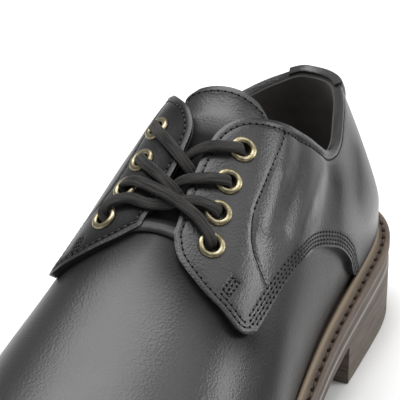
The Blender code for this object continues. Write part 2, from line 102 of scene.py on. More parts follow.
# Sections round the last, from the heel seam to the toe tip, as in the solids
STATION_COLUMNS = (
    "around", "core_x", "core_y", "turn", "lateral", "medial", "belly_lateral", "belly_medial", "belly_up",
    "ridge", "ridge_y", "stand_lateral", "crown_lateral", "stand_medial", "crown_medial")
STATIONS = (
    (0, -113, 0, 180, 32.2, 32.2, 1.0, 1.0, 13, 121.0, 2, 0.08, 0.28, 0.08, 0.28),
    (16, -113, 0, 150, 32.2, 32.2, 1.0, 1.0, 13, 121.0, 2, 0.08, 0.26, 0.08, 0.30),
    (33, -112, 0, 120, 32.4, 32.4, 0.8, 1.0, 13, 121.0, 2, 0.08, 0.24, 0.09, 0.32),
    (50, -106, 0, 98, 32.9, 32.7, 0.8, 1.2, 13, 123.0, 2, 0.13, 0.30, 0.16, 0.36),
    (75, -85, 0, 92, 34.5, 32.0, 1.0, 1.6, 14, 124.0, 2, 0.22, 0.48, 0.34, 0.52),
    (105, -55, 0, 90, 36.5, 30.5, 1.2, 2.2, 14, 119.0, 2, 0.36, 0.70, 0.54, 0.74),
    (135, -25, 0, 90, 39.5, 32.0, 1.8, 3.0, 14, 104.5, 1, 0.41, 0.76, 0.62, 0.84),
    (165, 5, 0, 90, 43.5, 37.0, 2.6, 3.8, 13, 88.0, -1, 0.42, 0.72, 0.60, 0.80),
    (195, 35, 0, 89, 46.0, 43.5, 3.0, 4.2, 12, 75.0, -3, 0.45, 0.66, 0.56, 0.72),
    (225, 65, -1, 86, 44.5, 44.0, 3.0, 4.0, 12, 64.5, -4, 0.50, 0.62, 0.55, 0.66),
    (252, 90, -4, 75, 39.5, 40.0, 2.8, 3.4, 12, 57.5, -5, 0.56, 0.62, 0.57, 0.64),
    (275, 103, -6, 54, 36.0, 36.0, 2.6, 2.8, 11, 53.5, -6, 0.60, 0.64, 0.60, 0.64),
    (300, 107, -7, 27, 35.5, 35.5, 2.4, 2.4, 11, 52.2, -6, 0.64, 0.64, 0.64, 0.64),
    (326, 107, -7, 0, 36.0, 36.0, 2.4, 2.4, 11, 52.2, -6, 0.64, 0.64, 0.64, 0.64),
)

# Height of the feather edge along the shoe, and the welt's reach past it
SEAT_COLUMNS = ("x", "height")
SEAT = (
    (-152, 31.0), (-110, 31.0), (-85, 30.0), (-55, 27.3), (-25, 22.3), (5, 17.0),
    (28, 13.9), (50, 13.3), (72, 13.7), (95, 16.2), (120, 20.0), (150, 24.5))
REACH_COLUMNS = ("around", "reach")
REACH = ((0, 7.5), (50, 7.4), (110, 6.6), (160, 7.0), (200, 7.8), (260, 7.8), (326, 7.8))

# Edges of the leather pieces: collar and facing top, quarter hem, flap front, tongue sides
TOP_COLUMNS = ("around", "lateral", "medial")
TOP_LINE = (
    (0, 0.593, 0.593), (16, 0.602, 0.556), (33, 0.609, 0.518), (50, 0.574, 0.496), (66, 0.525, 0.490),
    (74, 0.524, 0.496), (80, 0.539, 0.512), (86, 0.575, 0.553), (92, 0.629, 0.610), (100, 0.710, 0.700),
    (108, 0.806, 0.800), (115, 0.903, 0.900),
    (121, 0.950, 0.948), (130, 0.966, 0.964), (145, 0.962, 0.960), (158, 0.948, 0.946))
HEM_COLUMNS = ("around", "up")
HEM = (
    (0, 0.036), (50, 0.036), (66, 0.038), (72, 0.048), (75.5, 0.088), (78.5, 0.150), (83, 0.216),
    (88.5, 0.264), (96, 0.307), (110, 0.374), (130, 0.453), (150, 0.516), (168, 0.557))
FLAP_COLUMNS = ("share", "lateral_around", "lateral_up", "medial_around", "medial_up")
FLAP = (
    (0.0, 168.0, 0.557, 166.0, 0.552), (0.08, 171.0, 0.585, 168.8, 0.582), (0.4, 171.8, 0.715, 169.8, 0.705),
    (0.66, 169.6, 0.820, 166.8, 0.806), (0.85, 164.6, 0.906, 162.6, 0.888), (1.0, 158.0, 0.948, 158.0, 0.946))
TONGUE_COLUMNS = ("around", "edge", "depth")
TONGUE_EDGE = (
    (102.8, 0.850, 1.1), (104.2, 0.798, 1.3), (106.5, 0.784, 2.2), (110, 0.778, 3.0), (115, 0.772, 3.0),
    (140, 0.770, 2.8), (160, 0.780, 2.8), (172, 0.820, 2.8))
EYELET_COLUMNS = ("lateral_around", "lateral_up", "medial_around", "medial_up")
EYELETS = (
    (123.5, 0.849, 121.8, 0.800), (135.6, 0.853, 134.4, 0.815), (146.2, 0.844, 144.7, 0.812),
    (156.3, 0.823, 154.9, 0.783))

# Seam between facing and quarter, from the collar down to the hem: sewn at first, then a plain lap
EYESTAY_COLUMNS = ("share", "around", "up")
EYESTAY = (
    (0.0, 103.6, 0.728), (0.09, 109.0, 0.721), (0.23, 117.0, 0.725), (0.45, 129.0, 0.730),
    (0.61, 138.0, 0.730), (0.68, 141.5, 0.720), (0.76, 145.5, 0.700), (0.82, 148.0, 0.675),
    (0.90, 150.0, 0.630), (1.0, 151.5, 0.578))
EYESTAY_SEWN = 0.62

# Rows sewn on a quarter: distances from its hem and its edge, and the bar tack as places on the last
HEM_ROWS = (1.2, 2.5, 3.8, 5.1)
HEM_ROWS_FROM = 62.0
HEM_ROWS_LOW = 0.044
HEM_FALL = 78.5
HEM_STEEP = 0.0207
EDGE_ROW_AT = (100.0, 109.0)
EDGE_ROW = (3.3, 2.3)
SECOND_ROW = 4.1
TACK = (
    (160.0, 0.686), (166.3, 0.700), (166.0, 0.728), (160.0, 0.714),
    (160.0, 0.686), (160.0, 0.700), (166.2, 0.714))

# Points that draw a quarter's edges, seams and bends, and the length that shares out its hem
COLLAR_POINTS = 330
BEAD_POINTS = 220
FLAP_POINTS = 170
HEM_POINTS = 1200
TACK_POINTS = 80
BEND_POINTS = 60
UP_LENGTH = 150.0

# Kinds of seam: pitch, how deep the stitches sink, pinhole; each pinhole is a dark ball of painted shade
SEAM_STITCHES = (
    ("edge", 2.4, 0.12, 0.85), ("hem", 2.8, 0.08, 1.0), ("tack", 1.9, 0.1, 0.9),
    ("eyestay", 2.4, 0.2, 0.85), ("lap", 0.8, 0.25, 0.65))
STITCH_SHARE = 0.6
STITCH_WIDTH = 0.55
PIT_DEPTH = 0.4
PIT_LENGTH = 1.25

# How seams and the cut edge press into the leather, as depth and width, and the bead along the collar
SEAM_PRESS = ((("edge", "tack"), 0.22, 0.9), (("hem",), 0.10, 0.6), (("eyestay", "lap"), 0.32, 0.7))
EDGE_PRESS = (0.35, 0.7)
BEAD = (0.30, 1.0)
BEAD_INSET = 1.7

# Painted shade, as reflection taken off the leather under the flaps' front edges, across the facings and
# under the lace, as a share and a reach
UNDER_FLAP = 0.95
UNDER_FLAP_REACH = 11.5
FACING_FROM = 100.0
FACING_RUN = 15.0
FACING_SHADE = {1: 0.22, -1: 1.0}
FACING_SHADE_REACH = 16.0
FACING_RIM = 1.2
FACING_RIM_SHARE = 0.85
UNDER_LACE = (113.0, 122.0)

# Soft troughs (depth above 0) and ridges (below 0) in the quarters: side, depth, width, places on the last
CREASES = (
    (1, 1.00, 5.0, ((100.0, 0.640), (107.5, 0.612), (116.5, 0.606), (129.0, 0.586))),
    (1, -0.55, 4.5, ((118.0, 0.668), (126.0, 0.668), (137.0, 0.672))),
    (1, -0.80, 7.0, ((90.0, 0.530), (99.0, 0.525), (108.0, 0.522), (126.0, 0.535))),
    (1, 1.00, 9.0, ((86.0, 0.470), (95.0, 0.430), (104.0, 0.400), (111.0, 0.380))),
    (-1, 0.75, 5.5, ((99.0, 0.610), (107.5, 0.595), (118.0, 0.590))),
    (-1, -0.60, 7.0, ((86.0, 0.500), (98.5, 0.485), (112.0, 0.480))),
    (-1, 0.85, 6.0, ((64.0, 0.440), (74.0, 0.405), (86.0, 0.360))),
)

# Bands of painted shade on the quarters, where the leather's reflection is taken away: side, share, width,
# places on the last
SHADE_BANDS = (
    (1, 0.88, 10.5, ((79.0, 0.430), (83.0, 0.380), (86.0, 0.335), (88.0, 0.290))),
    (1, 0.88, 10.5, ((48.0, 0.430), (51.0, 0.400), (55.0, 0.365), (58.0, 0.340))),
    (1, 0.50, 4.5, ((97.0, 0.500), (100.0, 0.465), (102.0, 0.445))),
    (1, 0.70, 4.5, ((108.0, 0.445), (112.0, 0.460), (117.0, 0.445))),
    (1, 0.45, 6.5, ((104.0, 0.625), (112.0, 0.605), (120.0, 0.605))),
)


def smooth_curve(columns, rows, name, flat_ends=True):
    """Smooth function through a named column of a table, whose first column is the place."""
    table = np.array(rows, float)
    places = table[:, 0]
    values = table[:, columns.index(name)]
    widths = np.diff(places)
    rises = np.diff(values) / widths
    inner = (widths[1:] * rises[:-1] + widths[:-1] * rises[1:]) / (widths[1:] + widths[:-1])
    ends = (0.0, 0.0) if flat_ends else (rises[0], rises[-1])
    slopes = np.concatenate(([ends[0]], inner, [ends[1]]))

    def value(place):
        i = np.clip(np.searchsorted(places, place) - 1, 0, len(widths) - 1)
        u = np.clip((place - places[i]) / widths[i], 0.0, 1.0)
        v = 1.0 - u
        level = (1 + 2 * u) * v * v * values[i] + u * u * (3 - 2 * u) * values[i + 1]
        return level + widths[i] * u * v * (v * slopes[i] - u * slopes[i + 1])

    return value


SIDE_NAMES = {1: "lateral", -1: "medial"}
LAST = {name: smooth_curve(STATION_COLUMNS, STATIONS, name, name != "turn") for name in STATION_COLUMNS}
SEAT_HEIGHT = smooth_curve(SEAT_COLUMNS, SEAT, "height")
WELT_REACH = smooth_curve(REACH_COLUMNS, REACH, "reach")
TOP_EDGE = {side: smooth_curve(TOP_COLUMNS, TOP_LINE, name) for side, name in SIDE_NAMES.items()}
HEM_EDGE = smooth_curve(HEM_COLUMNS, HEM, "up", flat_ends=False)
FLAP_EDGE = {
    side: [smooth_curve(FLAP_COLUMNS, FLAP, f"{name}_{part}", flat_ends=False) for part in ("around", "up")]
    for side, name in SIDE_NAMES.items()}
EYESTAY_AROUND = smooth_curve(EYESTAY_COLUMNS, EYESTAY, "around", flat_ends=False)
EYESTAY_UP = smooth_curve(EYESTAY_COLUMNS, EYESTAY, "up", flat_ends=False)
TONGUE_SIDE = smooth_curve(TONGUE_COLUMNS, TONGUE_EDGE, "edge")
TONGUE_DEPTH = smooth_curve(TONGUE_COLUMNS, TONGUE_EDGE, "depth")


def bezier(start, first, second, end, u):
    v = 1.0 - u
    return v * v * v * start + 3 * v * v * u * first + 3 * v * u * u * second + u * u * u * end


def of_side(name, around, side):
    """A column of the last for the lateral or the medial side."""
    return np.where(side > 0, LAST[name + "lateral"](around), LAST[name + "medial"](around))


def outline(around, side, reach):
    """Plan of the feather edge, moved out by reach."""
    radius = of_side("", around, side) + reach
    turn = np.radians(LAST["turn"](around))
    x = LAST["core_x"](around) + radius * np.cos(turn)
    y = LAST["core_y"](around) + radius * np.sin(turn) * side
    return x, y


def wall(around, up, side):
    """Outer face of the upper: up runs from 0 at the feather edge to 1 at the instep ridge."""
    around, up, side = np.broadcast_arrays(np.asarray(around, float), np.asarray(up, float), side)
    feather = of_side("", around, side)
    belly = feather + of_side("belly_", around, side)
    feather_z = SEAT_HEIGHT(outline(around, side, 0.0)[0])
    rise = LAST["belly_up"](around)
    belly_z = feather_z + rise
    ridge_z = LAST["ridge"](around)
    turn = np.radians(LAST["turn"](around))
    low = np.clip(up / BELLY_SHARE, 0.0, 1.0)
    high = np.clip((up - BELLY_SHARE) / (1.0 - BELLY_SHARE), 0.0, 1.0)
    stand = of_side("stand_", around, side) * (ridge_z - belly_z)
    crown = of_side("crown_", around, side) * belly
    fall = TOE_FALL * crown * np.maximum(0.0, np.cos(turn))
    tuck = np.square(1.0 - np.clip(low / TUCK, 0.0, 1.0))
    low_radius = belly + (feather - belly) * tuck
    low_z = bezier(feather_z, feather_z + LOW_PULL * rise, belly_z - BELLY_PULL * rise, belly_z, low)
    high_radius = bezier(belly, belly, crown, 0.0, high)
    high_z = bezier(belly_z, belly_z + stand, ridge_z - fall, ridge_z, high)
    radius = np.where(up < BELLY_SHARE, low_radius, high_radius)
    z = np.where(up < BELLY_SHARE, low_z, high_z)
    lean = np.maximum(0.0, 1.0 - radius / belly) * LAST["ridge_y"](around)
    x = LAST["core_x"](around) + radius * np.cos(turn)
    y = LAST["core_y"](around) + radius * np.sin(turn) * side + lean
    return np.stack((x, y, z), axis=-1)


def smooth_step(value, low, high):
    """0 below low, 1 above high, smooth between."""
    u = np.clip((value - low) / (high - low), 0.0, 1.0)
    return u * u * (3.0 - 2.0 * u)


def unit(vectors):
    return vectors / np.linalg.norm(vectors, axis=-1, keepdims=True)


def wall_steps(around, up, side):
    """How the wall moves per unit of around and of up."""
    step, share, highest = 0.6, 0.006, 0.985
    around = np.clip(around, step, TOE - step)
    up = np.clip(up, share, highest)
    along = (wall(around + step, up, side) - wall(around - step, up, side)) / (2 * step)
    upward = (wall(around, up + share, side) - wall(around, up - share, side)) / (2 * share)
    return along, upward


def outward(around, up, side):
    """Unit normal of the upper's outer face."""
    along, upward = wall_steps(around, up, side)
    return unit(np.cross(upward, along) * np.asarray(side, float)[..., None])


def over_wall(around, up, side, height):
    height = np.asarray(height, float)[..., None]
    return wall(around, up, side) + outward(around, up, side) * height


def off_ridge(across):
    """Up and side on the last at a share of the wall off the instep ridge, lateral above 0."""
    return 1.0 - np.abs(across), np.where(across >= 0, 1, -1)


def shifted(around, up, side, offset):
    """A line on the last, moved sideways over the leather: a line that runs to the toe moves up."""
    points = wall(around, up, side)
    run = unit(np.gradient(points, axis=0))
    move = np.cross(run, outward(around, up, side)) * offset * side
    along, upward = wall_steps(around, up, side)
    aa, uu, au = (along * along).sum(-1), (upward * upward).sum(-1), (along * upward).sum(-1)
    ma, mu = (move * along).sum(-1), (move * upward).sum(-1)
    share = aa * uu - au * au
    return around + (ma * uu - mu * au) / share, up + (mu * aa - ma * au) / share


# Meshes

def laid_grid(bm, points):
    """Grid of faces laid through an array of points, rows by columns, in millimetres."""
    rows, columns = points.shape[:2]
    made = bmesh.ops.create_grid(bm, x_segments=columns - 1, y_segments=rows - 1, size=1.0)
    for vert, point in zip(made["verts"], points.reshape(-1, 3) * MM):
        vert.co = point
    return made["verts"]


def shaded_grid(bm, points, name, values):
    """Laid grid whose points also carry a value of the leather, such as how much painted highlight or painted
    shade it takes.
    """
    layer = bm.verts.layers.float.get(name) or bm.verts.layers.float.new(name)
    verts = laid_grid(bm, points)
    for vert, value in zip(verts, values.ravel()):
        vert[layer] = value
    return verts


def weld(bm):
    bmesh.ops.remove_doubles(bm, verts=bm.verts, dist=WELD)
    bmesh.ops.dissolve_degenerate(bm, edges=bm.edges, dist=SLIVER)


def face_outward(bm, point, normal):
    """Turn all faces so that the one nearest a point looks along a normal."""
    target = Vector(point * MM)
    nearest = min(bm.faces, key=lambda face: (face.calc_center_median() - target).length)
    nearest.normal_update()
    if nearest.normal.dot(Vector(normal)) < 0:
        bmesh.ops.reverse_faces(bm, faces=bm.faces)


def face_off_last(bm, around, up, side):
    """Turn all faces so that the one nearest a place on the last looks outward there."""
    face_outward(bm, wall(around, up, side), outward(around, up, side))


def finish_piece(mesh, materials, stands_for=(), sharp=None):
    """Put a finished mesh in the scene, on the shoe's body, in place of the solids it stands for."""
    mesh.shade_smooth()
    if sharp:
        mesh.set_sharp_from_angle(angle=math.radians(sharp))
    for material in materials:
        mesh.materials.append(material)
    piece = bpy.data.objects.new(mesh.name, mesh)
    bpy.context.scene.collection.objects.link(piece)
    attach(piece, BODY)
    if stands_for:
        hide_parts(*stands_for)
    return piece


def add_piece(name, bm, materials, stands_for=(), sharp=None):
    mesh = bpy.data.meshes.new(name)
    bm.to_mesh(mesh)
    bm.free()
    return finish_piece(mesh, materials, stands_for, sharp)


def thicken(piece, thickness, rounding=0.35, inside=0, edge=0):
    """Give a leather sheet its thickness, inwards, and a rounded edge."""
    solidify = piece.modifiers.new("thickness", "SOLIDIFY")
    solidify.thickness = thickness * MM
    solidify.offset = -1.0
    solidify.use_even_offset = False
    solidify.use_quality_normals = True
    solidify.material_offset = inside
    solidify.material_offset_rim = edge
    bevel = piece.modifiers.new("edge", "BEVEL")
    bevel.width = rounding * MM
    bevel.segments = 3
    bevel.limit_method = "ANGLE"
    bevel.angle_limit = math.radians(50)
    bevel.use_clamp_overlap = True
    bevel.harden_normals = False


def edged(count, extent, first=(0.0, 0.4, 1.0, 1.8)):
    """Shares from 0 to 1 with closer lines at both ends of a run of this many millimetres."""
    lines = np.array(first) / extent
    inner = np.linspace(lines[-1], 1.0 - lines[-1], count)[1:-1]
    return np.concatenate((lines, inner, 1.0 - lines[::-1]))


def near(points, lines, width):
    """How close points lie to any of some lines: 1 on a line, fading over width."""
    samples = np.concatenate(lines)
    tree = KDTree(len(samples))
    for i, sample in enumerate(samples):
        tree.insert(sample, i)
    tree.balance()
    away = np.array([tree.find(point)[2] for point in points.reshape(-1, 3)])
    return np.exp(-np.square(away / width)).reshape(points.shape[:-1])


def measured(line):
    """Length run along a line of points."""
    steps = np.linalg.norm(np.diff(line, axis=0), axis=1)
    return np.concatenate(([0.0], np.cumsum(steps)))


def along_line(line, run, place):
    return np.stack([np.interp(place, run, line[:, k]) for k in range(3)], axis=-1)


def sew(line, normals, pitch=2.5, length=1.6, width=0.6, hole=0.85, start=0.0):
    """Stitches along a line, a pinhole between each two, as turn and size, spot, and whether a hole."""
    run = measured(line)
    stitches = []
    for i in range(2 * int((run[-1] - start) / pitch) + 1):
        middle = start + i * pitch / 2
        spot = along_line(line, run, middle)
        ahead = unit(along_line(line, run, middle + pitch / 3) - along_line(line, run, middle - pitch / 3))
        out = unit(along_line(normals, run, middle))
        across = unit(np.cross(out, ahead))
        is_hole = i % 2 == 0
        sizes = (hole, PIT_DEPTH * hole, PIT_LENGTH * hole) if is_hole else (width, width, length)
        stitches.append((np.column_stack((across, out, ahead)) * sizes, spot, is_hole))
    return stitches


def add_stitches(name, stitches, thread=None, pit=None):
    """All stitches of a piece as one mesh: one small ball, copied into every place."""
    bm = bmesh.new()
    bmesh.ops.create_uvsphere(bm, u_segments=6, v_segments=5, radius=0.5)
    bm.verts.index_update()
    ball = np.array([vert.co for vert in bm.verts])
    ball_faces = [[vert.index for vert in face.verts] for face in bm.faces]
    bm.free()
    points = np.concatenate([ball @ turn.T + spot for turn, spot, _ in stitches]) * MM
    faces = [[i + k * len(ball) for i in face] for k in range(len(stitches)) for face in ball_faces]
    mesh = bpy.data.meshes.new(name)
    mesh.from_pydata(points.tolist(), [], faces)
    holes = np.repeat([is_hole for _, _, is_hole in stitches], len(ball_faces))
    mesh.polygons.foreach_set("material_index", holes.astype(np.int32))
    finish_piece(mesh, (thread or THREAD, pit or PINHOLE_SHADE))


# Materials

def new_material(name):
    material = bpy.data.materials.new(name)
    material.use_nodes = True
    tree = material.node_tree
    return material, tree, tree.nodes["Principled BSDF"]


def add_node(tree, kind, **values):
    node = tree.nodes.new("ShaderNode" + kind)
    for key, value in values.items():
        if key in node.inputs:
            node.inputs[key].default_value = value
        else:
            setattr(node, key, value)
    return node


def texture(tree, kind, coords, **values):
    node = add_node(tree, "Tex" + kind, **values)
    tree.links.new(coords, node.inputs["Vector"])
    return node


def ramp(tree, source, stops):
    """Colour ramp through (place, colour) stops."""
    node = add_node(tree, "ValToRGB")
    elements = node.color_ramp.elements
    while len(elements) < len(stops):
        elements.new(0.5)
    for element, (place, colour) in zip(elements, stops):
        element.position = place
        element.color = (*colour, 1.0)
    tree.links.new(source, node.inputs["Fac"])
    return node


def paint(tree, shader, source, stops):
    """Colour of a material from a ramp through (place, colour) stops."""
    tree.links.new(ramp(tree, source, stops).outputs["Color"], shader.inputs["Base Color"])


def raise_relief(tree, shader, *layers):
    """Bumps over each other, the coarsest first, each as height, strength and distance in millimetres."""
    below = None
    for height, strength, distance in layers:
        node = add_node(tree, "Bump", Strength=strength, Distance=distance * MM)
        tree.links.new(height, node.inputs["Height"])
        if below:
            tree.links.new(below.outputs["Normal"], node.inputs["Normal"])
        below = node
    tree.links.new(below.outputs["Normal"], shader.inputs["Normal"])


def set_sockets(shader, **values):
    """Constants set straight on a node's sockets, with _ for a blank in a socket's name."""
    for name, value in values.items():
        shader.inputs[name.replace("_", " ")].default_value = value


def object_coords(tree, scale=(1.0, 1.0, 1.0)):
    coords = add_node(tree, "TexCoord").outputs["Object"]
    if scale == (1.0, 1.0, 1.0):
        return coords
    mapping = add_node(tree, "Mapping", Scale=scale)
    tree.links.new(coords, mapping.inputs["Vector"])
    return mapping.outputs["Vector"]


def mapped(tree, source, low, high):
    node = add_node(tree, "MapRange", **{"To Min": low, "To Max": high})
    tree.links.new(source, node.inputs["Value"])
    return node.outputs["Result"]


def calf_leather(name, dark, light, rough=(0.30, 0.40), pebble=0.65):
    """Smooth leather: fine pebbled grain, faint wrinkles, cloudy colour, and painted shade where a mesh
    attribute takes its reflection away.
    """
    material, tree, shader = new_material(name)
    coords = object_coords(tree)
    clouds = texture(tree, "Noise", coords, Scale=38.0, Detail=4.0, Roughness=0.6)
    grain = texture(tree, "Voronoi", coords, Scale=1150.0, Randomness=1.0)
    fine = texture(tree, "Noise", coords, Scale=1500.0, Detail=3.0)
    folds = texture(tree, "Noise", coords, Scale=170.0, Detail=3.0, Distortion=0.6)
    paint(tree, shader, clouds.outputs["Fac"], ((0.32, dark), (0.70, light)))
    tree.links.new(mapped(tree, clouds.outputs["Fac"], rough[1], rough[0]), shader.inputs["Roughness"])
    raise_relief(
        tree, shader, (folds.outputs["Fac"], 0.18, 0.08), (grain.outputs["Distance"], pebble, 0.10),
        (fine.outputs["Fac"], 0.4, 0.06))
    # painted shade: where the attribute is 1 the leather loses its reflection and turns near black
    painted_shade = add_node(tree, "Attribute", attribute_name="painted_shade")
    tree.links.new(mapped(tree, painted_shade.outputs["Fac"], 0.5, 0.0), shader.inputs["Specular IOR Level"])
    return material


def suede_lining(name, dark, light):
    """Matt lining with a fine nap and cloudy colour."""
    material, tree, shader = new_material(name)
    coords = object_coords(tree)
    nap = texture(tree, "Noise", coords, Scale=700.0, Detail=5.0, Roughness=0.7)
    clouds = texture(tree, "Noise", coords, Scale=45.0, Detail=3.0)
    paint(tree, shader, clouds.outputs["Fac"], ((0.35, dark), (0.68, light)))
    raise_relief(tree, shader, (nap.outputs["Fac"], 0.6, 0.1))
    set_sockets(shader, Roughness=0.95, Specular_IOR_Level=0.15, Sheen_Weight=0.25, Sheen_Roughness=0.6)
    return material


def sole_leather(name, dark, light, pale):
    """Edge-finished sole leather: streaks along the layers, paler where a mesh attribute says so, which is a
    painted highlight on rounded edges and the welt's lip.
    """
    material, tree, shader = new_material(name)
    along_layers = object_coords(tree, (55.0, 55.0, 900.0))
    streaks = texture(tree, "Noise", along_layers, Scale=1.0, Detail=5.0, Roughness=0.65)
    fibres = texture(tree, "Noise", object_coords(tree), Scale=900.0, Detail=3.0)
    colour = ramp(tree, streaks.outputs["Fac"], ((0.30, dark), (0.72, light)))
    # painted highlight: the attribute mixes in the pale colour
    highlit = add_node(tree, "Attribute", attribute_name="painted_highlight")
    mix = add_node(tree, "Mix", data_type="RGBA")
    tree.links.new(highlit.outputs["Fac"], mix.inputs["Factor"])
    tree.links.new(colour.outputs["Color"], mix.inputs[6])
    mix.inputs[7].default_value = (*pale, 1.0)
    tree.links.new(mix.outputs[2], shader.inputs["Base Color"])
    raise_relief(tree, shader, (streaks.outputs["Fac"], 0.5, 0.12), (fibres.outputs["Fac"], 0.35, 0.06))
    set_sockets(shader, Roughness=0.62, Specular_IOR_Level=0.35)
    return material


def antique_brass(name, dark, light):
    """Brass with a cloudy tarnish, smoother where it is bright."""
    material, tree, shader = new_material(name)
    tarnish = texture(tree, "Noise", object_coords(tree), Scale=420.0, Detail=4.0)
    paint(tree, shader, tarnish.outputs["Fac"], ((0.32, dark), (0.62, light)))
    tree.links.new(mapped(tree, tarnish.outputs["Fac"], 0.46, 0.28), shader.inputs["Roughness"])
    set_sockets(shader, Metallic=1.0)
    return material


def waxed_lace(name, dark, light):
    """Waxed lace: two diagonal sets of yarns and long fibres, over the lace's own girth and length."""
    material, tree, shader = new_material(name)
    uv = add_node(tree, "UVMap", uv_map="weave").outputs["UV"]
    heights = []
    for lean in (1.0, -1.0):
        mapping = add_node(tree, "Mapping", Rotation=(0.0, 0.0, lean * math.radians(32)))
        tree.links.new(uv, mapping.inputs["Vector"])
        yarns = texture(tree, "Wave", mapping.outputs["Vector"], Scale=0.55, Distortion=0.3)
        heights.append(yarns.outputs["Fac"])
    weave = add_node(tree, "Math", operation="MAXIMUM")
    tree.links.new(heights[0], weave.inputs[0])
    tree.links.new(heights[1], weave.inputs[1])
    stretch = add_node(tree, "Mapping", Scale=(1.5, 0.12, 1.0))
    tree.links.new(uv, stretch.inputs["Vector"])
    fibres = texture(tree, "Noise", stretch.outputs["Vector"], Scale=1.0, Detail=3.0)
    fuzz = texture(tree, "Noise", object_coords(tree), Scale=1500.0, Detail=3.0)
    paint(tree, shader, fibres.outputs["Fac"], ((0.36, dark), (0.66, light)))
    raise_relief(
        tree, shader, (weave.outputs["Value"], 0.8, 0.22), (fibres.outputs["Fac"], 0.7, 0.4),
        (fuzz.outputs["Fac"], 0.6, 0.12))
    set_sockets(shader, Roughness=0.7, Specular_IOR_Level=0.22, Sheen_Weight=0.05)
    return material


def stippled(name, dark, light, noise, distance, **sockets):
    """One fine noise, both in the colour and in the relief."""
    material, tree, shader = new_material(name)
    stipple = texture(tree, "Noise", object_coords(tree), **noise).outputs["Fac"]
    paint(tree, shader, stipple, ((0.35, dark), (0.70, light)))
    raise_relief(tree, shader, (stipple, 0.5, distance))
    set_sockets(shader, **sockets)
    return material


def sewing_thread(name, dark, light, shine=0.3):
    """Twisted thread, or with hardly any shine the bottom of a pinhole, whose near-black colour is painted
    shade.
    """
    twist = {"Scale": 1800.0, "Detail": 2.0}
    return stippled(name, dark, light, twist, 0.06, Roughness=0.6, Specular_IOR_Level=shine)


def heel_rubber(name, dark, light):
    """Dull rubber."""
    return stippled(name, dark, light, {"Scale": 1300.0, "Detail": 3.0}, 0.08, Roughness=0.8)


BLACK = ((0.013, 0.013, 0.0135), (0.021, 0.021, 0.0215))
CALF = calf_leather("black_calf", *BLACK)
CALF_SOFT = calf_leather("black_calf_tongue", *BLACK, (0.34, 0.44), 0.6)
RAW_EDGE = calf_leather("black_cut_edge", (0.012, 0.012, 0.012), (0.022, 0.021, 0.021), (0.6, 0.75), 0.6)
LINING = suede_lining("dark_suede_lining", (0.075, 0.070, 0.064), (0.150, 0.138, 0.124))
LINING_EDGE = suede_lining("dark_lining_edge", (0.020, 0.019, 0.018), (0.045, 0.042, 0.039))
SOCK = suede_lining("dark_sock", (0.040, 0.035, 0.030), (0.070, 0.060, 0.050))
THREAD = sewing_thread("black_thread", (0.020, 0.020, 0.020), (0.046, 0.046, 0.046), 0.45)
# painted shade: dark balls that stand for the inside of the stitch holes
PINHOLE_SHADE = sewing_thread("dark_pinhole", (0.003, 0.003, 0.003), (0.006, 0.006, 0.006), 0.05)
# the third colour of each sole leather is the colour of its painted highlight
WELT_LEATHER = sole_leather("brown_welt", (0.065, 0.046, 0.035), (0.140, 0.105, 0.082), (0.235, 0.185, 0.130))
STACK = sole_leather("stacked_leather", (0.050, 0.036, 0.029), (0.145, 0.112, 0.090), (0.26, 0.22, 0.185))
SOLE_LEATHER = sole_leather("sole_leather", (0.032, 0.023, 0.018), (0.130, 0.098, 0.078), (0.33, 0.30, 0.27))
BRASS = antique_brass("antique_brass", (0.15, 0.128, 0.070), (0.34, 0.300, 0.200))
LACE = waxed_lace("waxed_lace", (0.007, 0.007, 0.007), (0.044, 0.041, 0.039))
WELT_THREAD = sewing_thread("brown_welt_thread", (0.060, 0.043, 0.033), (0.110, 0.082, 0.064))
# painted shade: dark balls that stand for the inside of the welt's stitch holes
WELT_PIT_SHADE = sewing_thread("brown_welt_pit", (0.018, 0.011, 0.008), (0.042, 0.028, 0.020), 0.05)
RUBBER = heel_rubber("brown_rubber", (0.085, 0.071, 0.055), (0.140, 0.118, 0.090))


# Upper

def top_of_upper(around, side):
    return np.where(around > THROAT, 1.0, TOP_EDGE[side](around) - UPPER_BELOW_TOP)


def make_upper():
    """Vamp and quarter wall in one shell, lined inside, open at the collar, the throat and underneath."""
    bm = bmesh.new()
    back_rows, front_rows, columns, height = 112, 118, 66, 105.0
    back = np.linspace(0.0, THROAT, back_rows)
    front = np.linspace(VAMP_BACK, TOE, front_rows)
    arounds = np.concatenate((back, front))
    shares = edged(columns, height)
    flap_edges = []
    for side in (1, -1):
        flap_edges.append(on_quarter([line[-FLAP_POINTS:] for line in quarter_border(side)], side))
    for side in (1, -1):
        around, share = np.meshgrid(arounds, shares, indexing="ij")
        points = wall(around, share * top_of_upper(around, side), side)
        # painted shade: the vamp's reflection is taken away along the flaps' front edges, where their shadow
        # falls
        verts = shaded_grid(bm, points, "painted_shade", UNDER_FLAP * near(points, flap_edges, UNDER_FLAP_REACH))
        if side < 0:
            bmesh.ops.reverse_faces(bm, faces=list({face for vert in verts for face in vert.link_faces}))
    weld(bm)
    crown_back, crown_low, rounds = 0.095, 0.046, 12
    toe_crown = [vert for vert in bm.verts if vert.co.x > crown_back and vert.co.z > crown_low]
    for _ in range(rounds):
        bmesh.ops.smooth_vert(
            bm, verts=toe_crown, factor=0.5, use_axis_x=True, use_axis_y=True, use_axis_z=True)
    face_off_last(bm, 110.0, 0.3, 1)
    upper = add_piece("leather_upper", bm, (CALF, LINING, LINING_EDGE), ["upper"])
    thicken(upper, LINED_WALL, inside=1, edge=2)


def flap_lift(around, up, side):
    """How far the front of a flap stands off the vamp."""
    forward = np.clip((around - FLAP_LIFT_FROM) / FLAP_LIFT_RUN, 0.0, 1.0)
    hem = HEM_EDGE(around)
    rise = np.clip((up - hem) / (TOP_EDGE[side](around) - hem), 0.0, 1.0)
    return FLAP_LIFT * forward ** 3 * (1.0 - rise)


